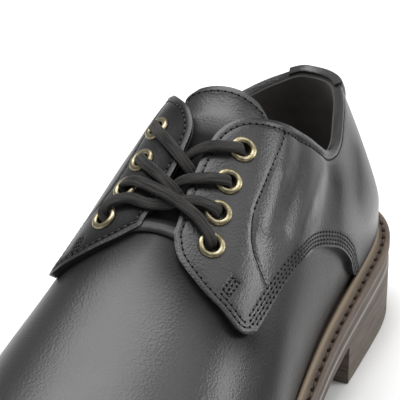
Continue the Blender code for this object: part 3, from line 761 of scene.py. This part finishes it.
def quarter_top(around, up, side):
    """Height of a quarter's outer face over the wall."""
    return QUARTER_GAP + OVERLAY + PLUMP + flap_lift(around, up, side)


def hem_place(share, last):
    """Place at a share of the hem's length, the last counted in around."""
    around = np.linspace(0.0, last, HEM_POINTS)
    run = measured(np.stack((around, UP_LENGTH * HEM_EDGE(around)), axis=-1))
    place = np.interp(share, run / run[-1], around)
    return place, HEM_EDGE(place)


def quarter_place(share, rise, side):
    """Place on the last for a point of a quarter: a patch between heel seam, hem, flap edge and top line."""
    corner, flap, throat = ([edge(at) for edge in FLAP_EDGE[side]] for at in (0.0, rise, 1.0))
    heel_low = HEM_EDGE(0.0)
    heel_top = TOP_EDGE[side](0.0)
    hem = hem_place(share, corner[0])
    top = (share * throat[0], TOP_EDGE[side](share * throat[0]))
    heel = (0.0, heel_low + (heel_top - heel_low) * rise)
    corners = ((0.0, heel_low), corner, (0.0, heel_top), throat)
    place = []
    for k in (0, 1):
        edges = (1 - rise) * hem[k] + rise * top[k] + (1 - share) * heel[k] + share * flap[k]
        low = (1 - share) * corners[0][k] + share * corners[1][k]
        high = (1 - share) * corners[2][k] + share * corners[3][k]
        place.append(edges - (1 - rise) * low - rise * high)
    return place


def eyelet_spot(row, side):
    """Place of an eyelet on the last, as around and up."""
    return [row[EYELET_COLUMNS.index(f"{SIDE_NAMES[side]}_{part}")] for part in ("around", "up")]


def eyelet_frame(row, side, lift=0.1):
    """Place and turn of an eyelet on the outside of a facing, in millimetres."""
    around, up = eyelet_spot(row, side)
    normal = outward(around, up, side)
    spot = wall(around, up, side) + normal * (quarter_top(around, up, side) + lift)
    return Matrix.Translation(spot) @ Vector(normal).to_track_quat("Z", "X").to_matrix().to_4x4()


def punch(bm, place, radius):
    """Round hole through a sheet, about the axis of an eyelet."""
    back = place.inverted()
    depth = 4.0

    def from_axis(point):
        seen = back @ (point / MM)
        return seen if abs(seen.z) < depth else None

    gone = []
    for face in bm.faces:
        seen = from_axis(face.calc_center_median())
        if seen and seen.xy.length < radius:
            gone.append(face)
    rim = {vert for face in gone for vert in face.verts}
    bmesh.ops.delete(bm, geom=gone, context="FACES")
    for vert in rim:
        if vert.is_valid:
            seen = from_axis(vert.co)
            out = seen.xy.normalized() * radius
            vert.co = (place @ Vector((out.x, out.y, seen.z))) * MM


def quarter_border(side):
    """Edge of a quarter from the heel seam along the collar and facing to the flap's corner."""
    top = np.linspace(0.4, THROAT, COLLAR_POINTS)
    front = np.linspace(1.0, 0.0, FLAP_POINTS)[1:]
    flap_around, flap_up = FLAP_EDGE[side]
    return np.concatenate((top, flap_around(front))), np.concatenate((TOP_EDGE[side](top), flap_up(front)))


def line_through(places, count):
    """Straight runs between places on the last, as this many arounds and ups."""
    share = np.linspace(0, len(places) - 1, count)
    return [np.interp(share, range(len(places)), column) for column in zip(*places)]


def quarter_seams(side):
    """Lines sewn on a quarter, each as around and up."""
    around, up = quarter_border(side)
    sewn, sewn_twice = slice(20, -4), slice(-85, -6)
    edge_offset = np.interp(around[sewn], EDGE_ROW_AT, EDGE_ROW)
    edge_row = shifted(around[sewn], up[sewn], side, -edge_offset[:, None])
    second_row = shifted(around[sewn_twice], up[sewn_twice], side, -SECOND_ROW)
    hem_end, hem_points = 0.992, 260
    hem_around = np.linspace(HEM_ROWS_FROM, hem_end * around[-1], hem_points)
    falling = HEM_EDGE(HEM_FALL) + HEM_STEEP * (hem_around - HEM_FALL)
    hem_up = np.where(hem_around > HEM_FALL, HEM_EDGE(hem_around), falling)
    hem_rows = []
    for offset in HEM_ROWS:
        row_around, row_up = shifted(hem_around, hem_up, side, offset)
        kept = row_up > HEM_ROWS_LOW
        hem_rows.append((row_around[kept], row_up[kept]))
    seams = {"edge": [edge_row, second_row], "hem": hem_rows, "tack": [line_through(TACK, TACK_POINTS)]}
    for kind, first, last, count in (("eyestay", 0.0, EYESTAY_SEWN, 100), ("lap", EYESTAY_SEWN, 1.0, 80)):
        share = np.linspace(first, last, count)
        seams[kind] = [(EYESTAY_AROUND(share), EYESTAY_UP(share))]
    return seams


def on_quarter(line, side, lift=0.0):
    around, up = line
    return over_wall(around, up, side, quarter_top(around, up, side) + lift)


def along_bends(points, side, bends):
    """Sum of soft lines at points of a quarter, each with its side, amount, width and places on the last."""
    total = np.zeros(points.shape[:-1])
    for bend_side, amount, width, places in bends:
        if bend_side == side:
            total += amount * near(points, [on_quarter(line_through(places, BEND_POINTS), side)], width)
    return total


def crease_relief(points, side):
    """Height of the soft troughs and ridges at points of a quarter."""
    return -along_bends(points, side, CREASES)


def make_quarter(side):
    """Quarter with its facing, laid over the upper, with sewn seams, eyelet holes and soft creases."""
    name = SIDE_NAMES[side]
    bm = bmesh.new()
    rows, length, columns, depth, back_seam, sunk = 225, 165.0, 92, 62.0, 0.002, 0.3
    share, rise = np.meshgrid(edged(rows, length), edged(columns, depth), indexing="ij")
    around, up = quarter_place(np.maximum(share, back_seam), rise, side)
    height = quarter_top(around, up, side)
    points = over_wall(around, up, side, height)
    seams = quarter_seams(side)
    border = quarter_border(side)
    border_line = [on_quarter(border, side)]
    bead = shifted(*(line[:BEAD_POINTS] for line in border), side, -BEAD_INSET)

    def pressed(lines, amount, width):
        return amount * near(points, lines, width)

    relief = crease_relief(points, side)
    for kinds, amount, width in SEAM_PRESS:
        relief -= pressed([on_quarter(line, side) for kind in kinds for line in seams[kind]], amount, width)
    relief -= pressed(border_line, *EDGE_PRESS)
    relief += pressed([on_quarter(bead, side)], *BEAD)
    # painted shade across the facing near the throat, where the lace shades it, stopping short of the edge so
    # that a lit rim stays, and in bands over the quarter
    throat = np.clip((around - FACING_FROM) / FACING_RUN, 0.0, 1.0)
    rim = pressed(border_line, FACING_RIM_SHARE, FACING_RIM)
    painted_shade = FACING_SHADE[side] * throat * (near(points, border_line, FACING_SHADE_REACH) - rim)
    painted_shade += along_bends(points, side, SHADE_BANDS)
    shaded_grid(bm, over_wall(around, up, side, height + relief), "painted_shade", painted_shade)
    weld(bm)
    for row in EYELETS:
        punch(bm, eyelet_frame(row, side), EYELET_HOLE)
    face_off_last(bm, 90.0, 0.4, side)
    quarter = add_piece("leather_quarter_" + name, bm, (CALF, RAW_EDGE), ["quarter_" + name])
    thicken(quarter, OVERLAY + PLUMP + QUARTER_GAP + sunk, rounding=0.4, inside=1, edge=0)

    stitches = []
    for kind, pitch, sink, hole in SEAM_STITCHES:
        for number, line in enumerate(seams[kind]):
            lift = crease_relief(on_quarter(line, side), side) - sink
            normals = outward(line[0], line[1], side)
            start = pitch / 2 * (number % 2)
            spots = on_quarter(line, side, lift)
            stitches += sew(spots, normals, pitch, STITCH_SHARE * pitch, STITCH_WIDTH, hole, start)
    add_stitches("stitches_quarter_" + name, stitches)


def on_back(across, ups, heights):
    """Points over the wall at the heel: across counts from the back seam, lateral above 0."""
    away = np.maximum(np.abs(across), 0.01)
    lateral, medial = (over_wall(away, ups, side, heights) for side in (1, -1))
    return np.where((across >= 0)[..., None], lateral, medial)


def make_backstay():
    """Strip up the back of the heel that widens at the top and wraps over the collar."""
    bm = bmesh.new()
    outer = QUARTER_GAP + OVERLAY + BACKSTAY_GAP + STRIP
    inner = 0.1
    rise, inside, low = 0.6, 0.4, 0.042
    up_rows, bend_rows, tail_rows, across_rows = 60, 13, 4, 49
    turn = np.linspace(0.0, math.pi, bend_rows)
    square = 0.6
    bend_up = np.sin(turn) ** square
    bend_out = np.sign(np.cos(turn)) * np.abs(np.cos(turn)) ** square
    bend = (outer + inner) / 2 + (outer - inner) / 2 * bend_out
    heights = np.concatenate((np.full(up_rows - 1, outer), bend, np.full(tail_rows - 1, inner)))
    widening = np.linspace(0.0, 1.0, up_rows)[:-1] ** BACKSTAY_FLARE
    flare = np.concatenate((widening, np.ones(bend_rows + tail_rows - 1)))
    columns = []
    for share in np.linspace(0.0, 1.0, across_rows):
        foot, end = (first + (last - first) * share for first, last in (BACKSTAY_FOOT, BACKSTAY_TOP))
        side = 1 if end >= 0 else -1
        top = TOP_EDGE[side](abs(end))
        per_up = np.linalg.norm(wall_steps(max(abs(end), 0.01), top, side)[1])
        ups = np.concatenate((
            np.linspace(low, top, up_rows)[:-1], top + rise * bend_up / per_up,
            np.linspace(top, top - inside / per_up, tail_rows)[1:]))
        columns.append(on_back(foot + (end - foot) * flare, ups, heights))
    laid_grid(bm, np.array(columns))
    face_off_last(bm, 4.0, 0.3, 1)
    backstay = add_piece("leather_backstay", bm, (CALF, RAW_EDGE), ["backstay"])
    thicken(backstay, STRIP, rounding=0.3, inside=1, edge=0)

    stitches = []
    sink, inset, sewn_from, sewn_to, sewn_points = 0.05, 1.5, 0.05, 0.92, 90
    shares = np.linspace(sewn_from, sewn_to, sewn_points)
    for foot, end, inwards in zip(BACKSTAY_FOOT, BACKSTAY_TOP, (inset, -inset)):
        across = foot + (end - foot) * shares ** BACKSTAY_FLARE + inwards
        side = 1 if end > 0 else -1
        ups = low + (TOP_EDGE[side](np.abs(across)) - low) * shares
        spots = on_back(across, ups, np.full(len(shares), outer - sink))
        stitches += sew(spots, outward(np.abs(across), ups, side))
    add_stitches("stitches_backstay", stitches)


def tongue_depth(around):
    """Depth of the tongue's face under the wall: deeper where the lace passes over it."""
    return TONGUE_DEPTH(around) + LACE_ROOM * smooth_step(around, *LACE_ROOM_AT)


def tongue_place(around, across):
    """Up and side on the last, where across runs from -1 to 1 between the tongue's edges."""
    return off_ridge(across * (1.0 - TONGUE_SIDE(around)))


def on_tongue(around, across):
    return over_wall(around, *tongue_place(around, across), -tongue_depth(around))


def make_tongue():
    """Tongue under the facings, standing above them, sewn along its top edge."""
    bm = bmesh.new()
    first, last = TONGUE_EDGE[0][0], TONGUE_EDGE[-1][0]
    rows, crowding, columns, width = 90, 1.5, 60, 45.0
    arounds = first + (last - first) * np.linspace(0.0, 1.0, rows) ** crowding
    around, across = np.meshgrid(arounds, edged(columns, width) * 2 - 1, indexing="ij")
    # painted shade on the tongue under the lace, where its reflection is taken away
    shaded_grid(bm, on_tongue(around, across), "painted_shade", smooth_step(around, *UNDER_LACE))
    face_off_last(bm, 130.0, 0.98, 1)
    tongue = add_piece("leather_tongue", bm, (CALF_SOFT, LINING, RAW_EDGE), ["tongue"])
    thicken(tongue, TONGUE, rounding=0.5, inside=1, edge=2)

    sewn_from, side_inset, top_inset = 124.0, 2.6, 1.9
    side_share, side_points, top_share, top_points = 0.90, 60, 0.86, 90
    sides = np.linspace(sewn_from, first + side_inset, side_points)
    tops = np.linspace(-top_share, top_share, top_points)
    around = np.concatenate((sides, np.full(len(tops), first + top_inset), sides[::-1]))
    across = np.concatenate((np.full(len(sides), -side_share), tops, np.full(len(sides), side_share)))
    normals = outward(around, *tongue_place(around, across))
    add_stitches("stitches_tongue", sew(on_tongue(around, across), normals))


def make_tongue_foot():
    """Foot of the tongue, which climbs out of the throat and is laid over the vamp."""
    bm = bmesh.new()
    back, front, half, hollow = 148.0, 159.0, 0.085, 160.0
    climb_from, climb_to, over_tongue, over_vamp = 149.0, 156.5, 0.1, 1.3
    lip, lip_from, thickness = 0.5, 0.93, 1.6
    gloss, gloss_from, gloss_to = 0.6, 0.55, 0.9
    rows, length, columns = 26, 12.0, 41
    share, across = np.meshgrid(edged(rows, length), np.linspace(-half, half, columns), indexing="ij")
    around = back + (front + hollow * across * across - back) * share
    climb = smooth_step(around, climb_from, climb_to)
    height = -tongue_depth(around) + over_tongue + climb * (tongue_depth(around) + over_vamp)
    height -= lip * smooth_step(share, lip_from, 1.0)
    places = over_wall(around, *off_ridge(across), height)
    # painted shade over the foot down in the throat, lifted towards its front edge, which keeps some
    # reflection
    shaded_grid(bm, places, "painted_shade", 1.0 - gloss * smooth_step(share, gloss_from, gloss_to))
    face_off_last(bm, 157.0, 0.98, 1)
    foot = add_piece("leather_tongue_foot", bm, (CALF_SOFT, RAW_EDGE))
    thicken(foot, thickness, rounding=0.4, inside=1, edge=0)


# Eyelets and lace

def make_eyelets():
    """Turned brass rings: a rolled flange on the facing and a barrel through it."""
    roll = (EYELET_FLANGE - EYELET_BORE) / 2
    middle = EYELET_BORE + roll
    crown, under, roll_points = 0.95, -0.05, 9
    turns = np.linspace(0.0, math.pi, roll_points)
    profile = [(EYELET_BARREL, under), (EYELET_BARREL, -EYELET_DEPTH), (EYELET_BORE, -EYELET_DEPTH)]
    profile += [(middle - roll * math.cos(turn), crown * math.sin(turn)) for turn in turns]
    for side in (1, -1):
        for number, row in enumerate(EYELETS, start=1):
            bm = bmesh.new()
            ring = [bm.verts.new((radius * MM, 0.0, height * MM)) for radius, height in profile]
            for i, vert in enumerate(ring):
                bm.edges.new((vert, ring[(i + 1) % len(ring)]))
            bmesh.ops.spin(
                bm, geom=list(bm.verts) + list(bm.edges), cent=(0, 0, 0), axis=(0, 0, 1), angle=math.tau,
                steps=36, use_merge=True)
            weld(bm)
            bmesh.ops.recalc_face_normals(bm, faces=bm.faces)
            place = eyelet_frame(row, side)
            place.translation *= MM
            bmesh.ops.transform(bm, matrix=place, verts=bm.verts)
            name = f"{SIDE_NAMES[side]}_{number}"
            add_piece("brass_eyelet_" + name, bm, (BRASS,), ["eyelet_" + name], sharp=50)


# Heights of the lace over the wall: under the facings, on its way there, and as it leaves an eyelet
INSIDE = -3.0
DIVING = -2.0
OUTSIDE = 0.6


def come_up(number, side):
    """The lace from the inside out through an eyelet."""
    around, up = eyelet_spot(EYELETS[number - 1], side)
    across = side * (1.0 - up)
    return (around, across, INSIDE), (around, across, OUTSIDE)


def go_down(number, side):
    return come_up(number, side)[::-1]


# Route of the lace from one top eyelet down to the bar between the lowest eyelets and up to the other:
# place along the feather edge, share of the wall off the ridge (lateral above 0), height over the wall
LACE_ROUTE = (
    *come_up(1, -1), (121.2, -0.208, 3.6), (124.0, -0.172, 4.6), (127.9, -0.117, 4.7), (133.2, -0.040, 3.7),
    (136.2, 0.005, 1.6), (138.3, 0.045, DIVING), (137.6, 0.100, INSIDE),
    *come_up(2, 1), (136.0, 0.144, 3.5), (137.4, 0.115, 4.5), (139.2, 0.073, 4.4), (141.3, 0.015, 2.8),
    (143.3, -0.045, DIVING), (145.0, -0.120, INSIDE),
    *come_up(3, -1), (143.7, -0.194, 3.5), (144.0, -0.143, 4.7), (145.8, -0.077, 5.0), (147.9, -0.009, 5.4),
    (149.6, 0.041, 5.2), (151.4, 0.095, 4.9), (153.4, 0.136, 4.6), (155.4, 0.168, 3.5), *go_down(4, 1),
    (156.6, 0.060, INSIDE), (156.6, -0.080, INSIDE),
    *come_up(4, -1), (153.0, -0.224, 3.5), (150.6, -0.195, 4.5), (150.0, -0.130, 4.4), (151.0, -0.065, 3.4),
    (150.3, -0.004, 2.8), (148.0, 0.035, 3.3), (146.6, 0.088, 4.4), (146.3, 0.124, 4.5), (146.2, 0.150, 3.5),
    *go_down(3, 1), (147.2, 0.100, INSIDE), (147.4, 0.045, DIVING), (145.4, 0.008, 1.6), (142.9, -0.039, 3.7),
    (139.5, -0.103, 4.6), (136.2, -0.160, 4.5), (134.0, -0.186, 3.5),
    *go_down(2, -1), (133.8, -0.120, INSIDE), (133.0, -0.050, DIVING), (130.8, 0.008, 2.6),
    (128.6, 0.047, 4.2), (126.6, 0.095, 4.6), (124.4, 0.138, 3.7), *go_down(1, 1),
)


def through(points, steps):
    """Smooth line through points, with this many steps between them."""
    padded = np.concatenate((points[:1] * 2 - points[1:2], points, points[-1:] * 2 - points[-2:-1]))
    u = np.linspace(0.0, 1.0, steps, endpoint=False)[:, None]
    runs = []
    for before, start, end, after in zip(padded, padded[1:], padded[2:], padded[3:]):
        first = start + (end - before) / 6
        second = end - (after - start) / 6
        runs.append(bezier(start, first, second, end, u))
    return np.concatenate((*runs, points[-1:]))


def make_lace():
    """One flat lace: through every eyelet, crossing over the throat, with its ends inside the top pair."""
    around, across, height = np.array(LACE_ROUTE).T
    up, side = off_ridge(across)
    knots = over_wall(around, up, side, height)
    steps, settle, girth_points, square = 9, 0.35, 17, 0.72
    line = through(knots, steps)
    outs = unit(through(outward(around, up, side), steps))
    run = unit(np.gradient(line, axis=0))
    flats = []
    flat = unit(np.cross(run[0], np.array((0.0, 1.0, 0.0))))
    for ahead, out in zip(run, outs):
        lying = np.cross(ahead, out)
        flat = flat + settle * lying * (1.0 if np.dot(lying, flat) >= 0 else -1.0)
        flat = unit(flat - ahead * np.dot(flat, ahead))
        flats.append(flat)
    flats = np.array(flats)
    thick = np.cross(flats, run)
    turns = np.linspace(0.0, math.tau, girth_points)
    wide = np.sign(np.cos(turns)) * np.abs(np.cos(turns)) ** square * LACE_WIDTH / 2
    deep = np.sign(np.sin(turns)) * np.abs(np.sin(turns)) ** square * LACE_THICK / 2
    points = line[:, None] + flats[:, None] * wide[None, :, None] + thick[:, None] * deep[None, :, None]
    bm = bmesh.new()
    laid_grid(bm, points)
    girth = measured(points[0])
    length = measured(line)
    weave = bm.loops.layers.uv.new("weave")
    bm.verts.index_update()
    for face in bm.faces:
        for loop in face.loops:
            row, column = divmod(loop.vert.index, len(turns))
            loop[weave].uv = (girth[column], length[row])
    weld(bm)
    bmesh.ops.holes_fill(bm, edges=bm.edges, sides=len(turns))
    bmesh.ops.recalc_face_normals(bm, faces=bm.faces)
    crossings = ["lace_crossing_low", "lace_crossing_middle", "lace_crossing_top"]
    add_piece("waxed_lace", bm, (LACE,), crossings)


# Sole

WELT_BOTTOM = GAP + WELT
MIDSOLE_TOP = WELT_BOTTOM + GAP
MIDSOLE_BOTTOM = MIDSOLE_TOP + MIDSOLE
OUTSOLE_TOP = MIDSOLE_BOTTOM + GAP
OUTSOLE_BOTTOM = OUTSOLE_TOP + OUTSOLE


def tread(x):
    """Underside of the outsole: flat on the floor at the ball, raised at the arch, heel and toe."""
    return np.maximum(0.0, SEAT_HEIGHT(x) - OUTSOLE_BOTTOM)


def round_loop(step):
    """Places all round the sole: up the lateral side to the toe and back down the medial side."""
    arounds = np.linspace(0.0, TOE, int(TOE / step))
    around = np.concatenate((arounds, arounds[::-1]))
    side = np.concatenate((np.ones(len(arounds)), -np.ones(len(arounds))))
    return around, side


def make_welt():
    """Strip all round between upper and midsole: raised lip against the upper, sewn groove, rolled edge."""
    around, side = round_loop(1.5)
    edge = WELT_REACH(around)
    groove = LIP_OUTER + 1.9
    # what the reach counts from, reach, height over the feather edge, paleness, a painted highlight on the
    # lip's crest and the rolled edge
    section = (
        ("feather", WELT_INNER, -WELT_BOTTOM, 0.0), ("edge", -0.35, -WELT_BOTTOM, 0.0),
        ("edge", 0.0, -WELT_BOTTOM + 0.35, 0.2), ("edge", 0.0, -2.6, 0.0), ("edge", 0.0, -1.2, 0.05),
        ("edge", -0.2, -0.6, 0.15), ("edge", -0.6, -GAP, 0.1), ("feather", groove + 0.6, -GAP, 0.05),
        ("feather", groove + 0.3, -GAP - 0.35, 0.0), ("feather", groove - 0.3, -GAP - 0.35, 0.0),
        ("feather", LIP_OUTER + 0.35, -GAP, 0.1), ("feather", LIP_OUTER + 0.05, 0.5, 0.6),
        ("feather", LIP_OUTER - 0.1, 1.4, 0.9), ("feather", LIP_OUTER - 0.5, 2.0, 1.0),
        ("feather", 2.2, LIP_HEIGHT, 1.0), ("feather", LIP_INNER + 0.4, 1.9, 0.8),
        ("feather", LIP_INNER, 1.2, 0.4), ("feather", LIP_INNER, -GAP, 0.0),
        ("feather", WELT_INNER, -GAP, 0.0))
    points, pale = [], []
    for start, reach, height, paleness in (*section, section[0]):
        x, y = outline(around, side, reach + edge if start == "edge" else np.full(len(around), reach))
        points.append(np.stack((x, y, SEAT_HEIGHT(x) + height), axis=-1))
        pale.append(np.full(len(around), paleness))
    bm = bmesh.new()
    shaded_grid(bm, np.stack(points, axis=1), "painted_highlight", np.stack(pale, axis=1))
    weld(bm)
    bmesh.ops.recalc_face_normals(bm, faces=bm.faces)
    add_piece("storm_welt", bm, (WELT_LEATHER,), ["welt"], sharp=55)

    x, y = outline(around, side, groove)
    sink = 0.15
    line = np.stack((x, y, SEAT_HEIGHT(x) - GAP - sink), axis=-1)
    ups = np.tile((0.0, 0.0, 1.0), (len(line), 1))
    stitches = sew(line, ups, pitch=5.2, length=3.0, width=0.9, hole=1.7)
    add_stitches("stitches_welt", stitches, WELT_THREAD, WELT_PIT_SHADE)


def make_layer(name, node, material, last_around, top, bottom, side_shape, step=2.0, across=10):
    """Layer of the sole from the heel to last_around: top(x), bottom(x), and side_shape rows of
    inset from the welt's edge, share of the height from the top, paleness as a painted highlight."""
    arounds = np.linspace(0.0, last_around, int(last_around / step))
    middles = np.linspace(0.0, 1.0, across + 1)[1:-1]
    columns, pale = [], []

    def rim(side, inset):
        return np.stack(outline(arounds, side, WELT_REACH(arounds) - inset), axis=-1)

    def lay(plan, share, paleness):
        high, low = top(plan[:, 0]), bottom(plan[:, 0])
        columns.append(np.column_stack((plan, high + (low - high) * share)))
        pale.append(np.full(len(arounds), paleness))

    for inset, share, paleness in side_shape:
        lay(rim(1, inset), share, paleness)
    low_inset = side_shape[-1][0]
    for middle in middles:
        lay(rim(1, low_inset) * (1 - middle) + rim(-1, low_inset) * middle, 1.0, 0.0)
    for inset, share, paleness in reversed(side_shape):
        lay(rim(-1, inset), share, paleness)
    high_inset = side_shape[0][0]
    for middle in middles:
        lay(rim(-1, high_inset) * (1 - middle) + rim(1, high_inset) * middle, 0.0, 0.0)
    columns.append(columns[0])
    pale.append(pale[0])
    bm = bmesh.new()
    shaded_grid(bm, np.stack(columns, axis=1), "painted_highlight", np.stack(pale, axis=1))
    weld(bm)
    bmesh.ops.holes_fill(bm, edges=bm.edges, sides=0)
    bmesh.ops.recalc_face_normals(bm, faces=bm.faces)
    return add_piece(name, bm, (material,), [node], sharp=40)


def make_sole():
    """Midsole, outsole, stacked heel and rubber top piece."""
    # rows of inset, share of the height and paleness; the paleness paints a highlight on the rounded edges
    rolled = ((0.35, 0.0, 0.6), (0.1, 0.08, 0.9), (0.0, 0.2, 0.25), (0.0, 0.5, 0.0), (0.0, 0.82, 0.05),
              (0.1, 0.93, 0.3), (0.35, 1.0, 0.2))
    midsole_side = tuple((inset + MIDSOLE_INSET, share, pale) for inset, share, pale in rolled)
    outsole_side = tuple((inset + OUTSOLE_INSET, share, pale) for inset, share, pale in rolled)
    make_layer("leather_midsole", "midsole", SOLE_LEATHER, TOE,
               lambda x: SEAT_HEIGHT(x) - MIDSOLE_TOP, lambda x: SEAT_HEIGHT(x) - MIDSOLE_BOTTOM,
               midsole_side)
    make_layer("leather_outsole", "outsole", SOLE_LEATHER, TOE,
               lambda x: SEAT_HEIGHT(x) - OUTSOLE_TOP, tread, outsole_side)

    lifts, groove, seam, bevel = 3, 0.22, 0.004, 0.035
    # the paleness at each lift's bevels is a painted highlight
    heel_side = []
    for lift in range(lifts):
        start, end = lift / lifts, (lift + 1) / lifts
        taper = HEEL_INSET + (HEEL_FOOT_INSET - HEEL_INSET) * start
        heel_side += [(taper + groove, start + seam, 0.0), (taper, start + bevel, 0.12),
                      (taper, (start + end) / 2, 0.0), (taper, end - bevel, 0.05)]
    heel_side.append((HEEL_FOOT_INSET + groove, 1.0, 0.0))
    make_layer("stacked_heel", "heel", STACK, BREAST_AROUND,
               lambda x: tread(x) - GAP, lambda x: np.full(np.shape(x), TOP_PIECE + GAP), tuple(heel_side))
    piece_side = ((HEEL_FOOT_INSET + 0.25, 0.0, 0.0), (HEEL_FOOT_INSET, 0.06, 0.0),
                  (HEEL_FOOT_INSET, 0.9, 0.0), (HEEL_FOOT_INSET + 0.4, 1.0, 0.0))
    make_layer("rubber_top_piece", "heel_top_piece", RUBBER, BREAST_AROUND,
               lambda x: np.full(np.shape(x), TOP_PIECE), lambda x: np.zeros(np.shape(x)), piece_side)


def make_insole():
    """Sock over the insole: slightly dished, its rim turned up against the lining."""
    bm = bmesh.new()
    dish, dish_power, past_welt, thickness, rows, columns = 1.6, 4, 2.0, 3.0, 150, 25
    arounds = np.linspace(0.0, TOE, rows)
    shares = np.linspace(0.0, 1.0, columns)
    reach = WELT_INNER + past_welt
    lateral, medial = (np.stack(outline(arounds, side, reach), axis=-1) for side in (1, -1))
    plan = lateral[:, None] * (1 - shares)[None, :, None] + medial[:, None] * shares[None, :, None]
    bowl = dish * (np.abs(shares - 0.5) * 2) ** dish_power
    z = SEAT_HEIGHT(plan[..., 0]) + INSOLE_RISE + bowl[None, :]
    laid_grid(bm, np.concatenate((plan, z[..., None]), axis=-1))
    weld(bm)
    seat = np.array((0.0, 0.0, SEAT_HEIGHT(0.0)))
    face_outward(bm, seat, (0.0, 0.0, 1.0))
    insole = add_piece("insole_sock", bm, (SOCK,), ["insole"])
    thicken(insole, thickness, rounding=0.5)


# Studio, in metres

PALE_PAPER = (0.80, 0.84)
SHADE_CARD_TONE = (0.03, 0.05)
SHOE_MIDDLE = (-0.03, 0.0, 0.06)
SKY = 0.32
# name, place, target, size, watts
LIGHTS = (
    ("overhead", (-0.30, -0.38, 1.49), SHOE_MIDDLE, (1.4, 1.4), 34.0),
    ("outer_side", (-0.75, 1.25, 0.60), SHOE_MIDDLE, (0.6, 0.5), 9.0),
    ("outer_top", (-0.12, 0.32, 0.55), (-0.10, 0.06, 0.0), (0.35, 0.25), 0.7),
    ("inner_side", (-1.0, -1.7, 0.28), SHOE_MIDDLE, (3.0, 0.5), 1.2),
)
CAMERA_PLACE = (0.8785, 0.3884, 0.6592)
CAMERA_AZIMUTH = math.radians(113.0)
CAMERA_ELEVATION = math.radians(30.0)
CAMERA_LENS = 306.0
CAMERA_SENSOR = 36.0
CAMERA_SIGHT = 20.0


def add_light(name, place, target, size, power):
    light = bpy.data.lights.new(name, "AREA")
    light.shape = "RECTANGLE"
    light.size, light.size_y = size
    light.energy = power
    lamp = bpy.data.objects.new(name, light)
    bpy.context.scene.collection.objects.link(lamp)
    lamp.location = place
    lamp.rotation_euler = (Vector(target) - Vector(place)).to_track_quat("-Z", "Y").to_euler()


def add_sheet(name, size, middle, dark, light, glow=0.0):
    """Flat sheet of the studio, of its own faintly mottled paper, which may glow."""
    bm = bmesh.new()
    bmesh.ops.create_grid(bm, x_segments=1, y_segments=1, size=0.5)
    bmesh.ops.scale(bm, verts=bm.verts, vec=(*size, 1.0))
    bmesh.ops.translate(bm, verts=bm.verts, vec=middle)
    mesh = bpy.data.meshes.new(name)
    bm.to_mesh(mesh)
    bm.free()
    sheet = bpy.data.objects.new(name, mesh)
    bpy.context.scene.collection.objects.link(sheet)
    material, tree, shader = new_material(name + "_paper")
    speckle = texture(tree, "Noise", object_coords(tree), Scale=3.0)
    paint(tree, shader, speckle.outputs["Fac"], ((0.3, (dark,) * 3), (0.7, (light,) * 3)))
    set_sockets(shader, Roughness=0.9, Emission_Color=(1.0, 1.0, 1.0, 1.0), Emission_Strength=glow)
    mesh.materials.append(material)
    return sheet


def make_studio():
    """Pale floor, soft light from above and the sides, cards seen only in reflections, a dark one as painted
    shade and a glowing one as a painted highlight, and the camera.
    """
    add_sheet("floor", (12.0, 12.0), (0.0, 0.0, 0.0), *PALE_PAPER)
    # painted shade: a dark card seen only in the leather's reflections, darkening them on the lateral quarter
    # and heel
    shade_card = add_sheet("shade_card", (0.42, 0.48), (-0.11, 0.315, 0.001), *SHADE_CARD_TONE)
    # painted highlight: a glowing card seen only in the leather's reflections near the heel
    heel_highlight_card = add_sheet("heel_highlight_card", (0.055, 0.026), (-0.2125, 0.059, 0.001), *PALE_PAPER, glow=2.0)
    for card in (shade_card, heel_highlight_card):
        card.visible_camera = False
        card.visible_diffuse = False
        card.visible_shadow = False

    world = bpy.data.worlds.new("studio")
    world.use_nodes = True
    set_sockets(world.node_tree.nodes["Background"], Color=(1.0, 1.0, 1.0, 1.0), Strength=SKY)
    scene = bpy.context.scene
    scene.world = world
    scene.view_settings.view_transform = "Standard"

    for light in LIGHTS:
        add_light(*light)

    camera_data = bpy.data.cameras.new("camera")
    camera_data.sensor_width = CAMERA_SENSOR
    camera_data.lens = CAMERA_LENS
    camera_data.clip_end = CAMERA_SIGHT
    camera = bpy.data.objects.new("camera", camera_data)
    scene.collection.objects.link(camera)
    right = Vector((math.cos(CAMERA_AZIMUTH), math.sin(CAMERA_AZIMUTH), 0.0))
    level = Vector((right.y, -right.x, 0.0))
    back = level * math.cos(CAMERA_ELEVATION) + Vector((0.0, 0.0, math.sin(CAMERA_ELEVATION)))
    turn = Matrix((right, back.cross(right), back)).transposed().to_4x4()
    camera.matrix_world = Matrix.Translation(CAMERA_PLACE) @ turn
    scene.camera = camera


make_upper()
for side in (1, -1):
    make_quarter(side)
make_backstay()
make_tongue()
make_tongue_foot()
make_eyelets()
make_lace()
make_welt()
make_sole()
make_insole()
make_studio()
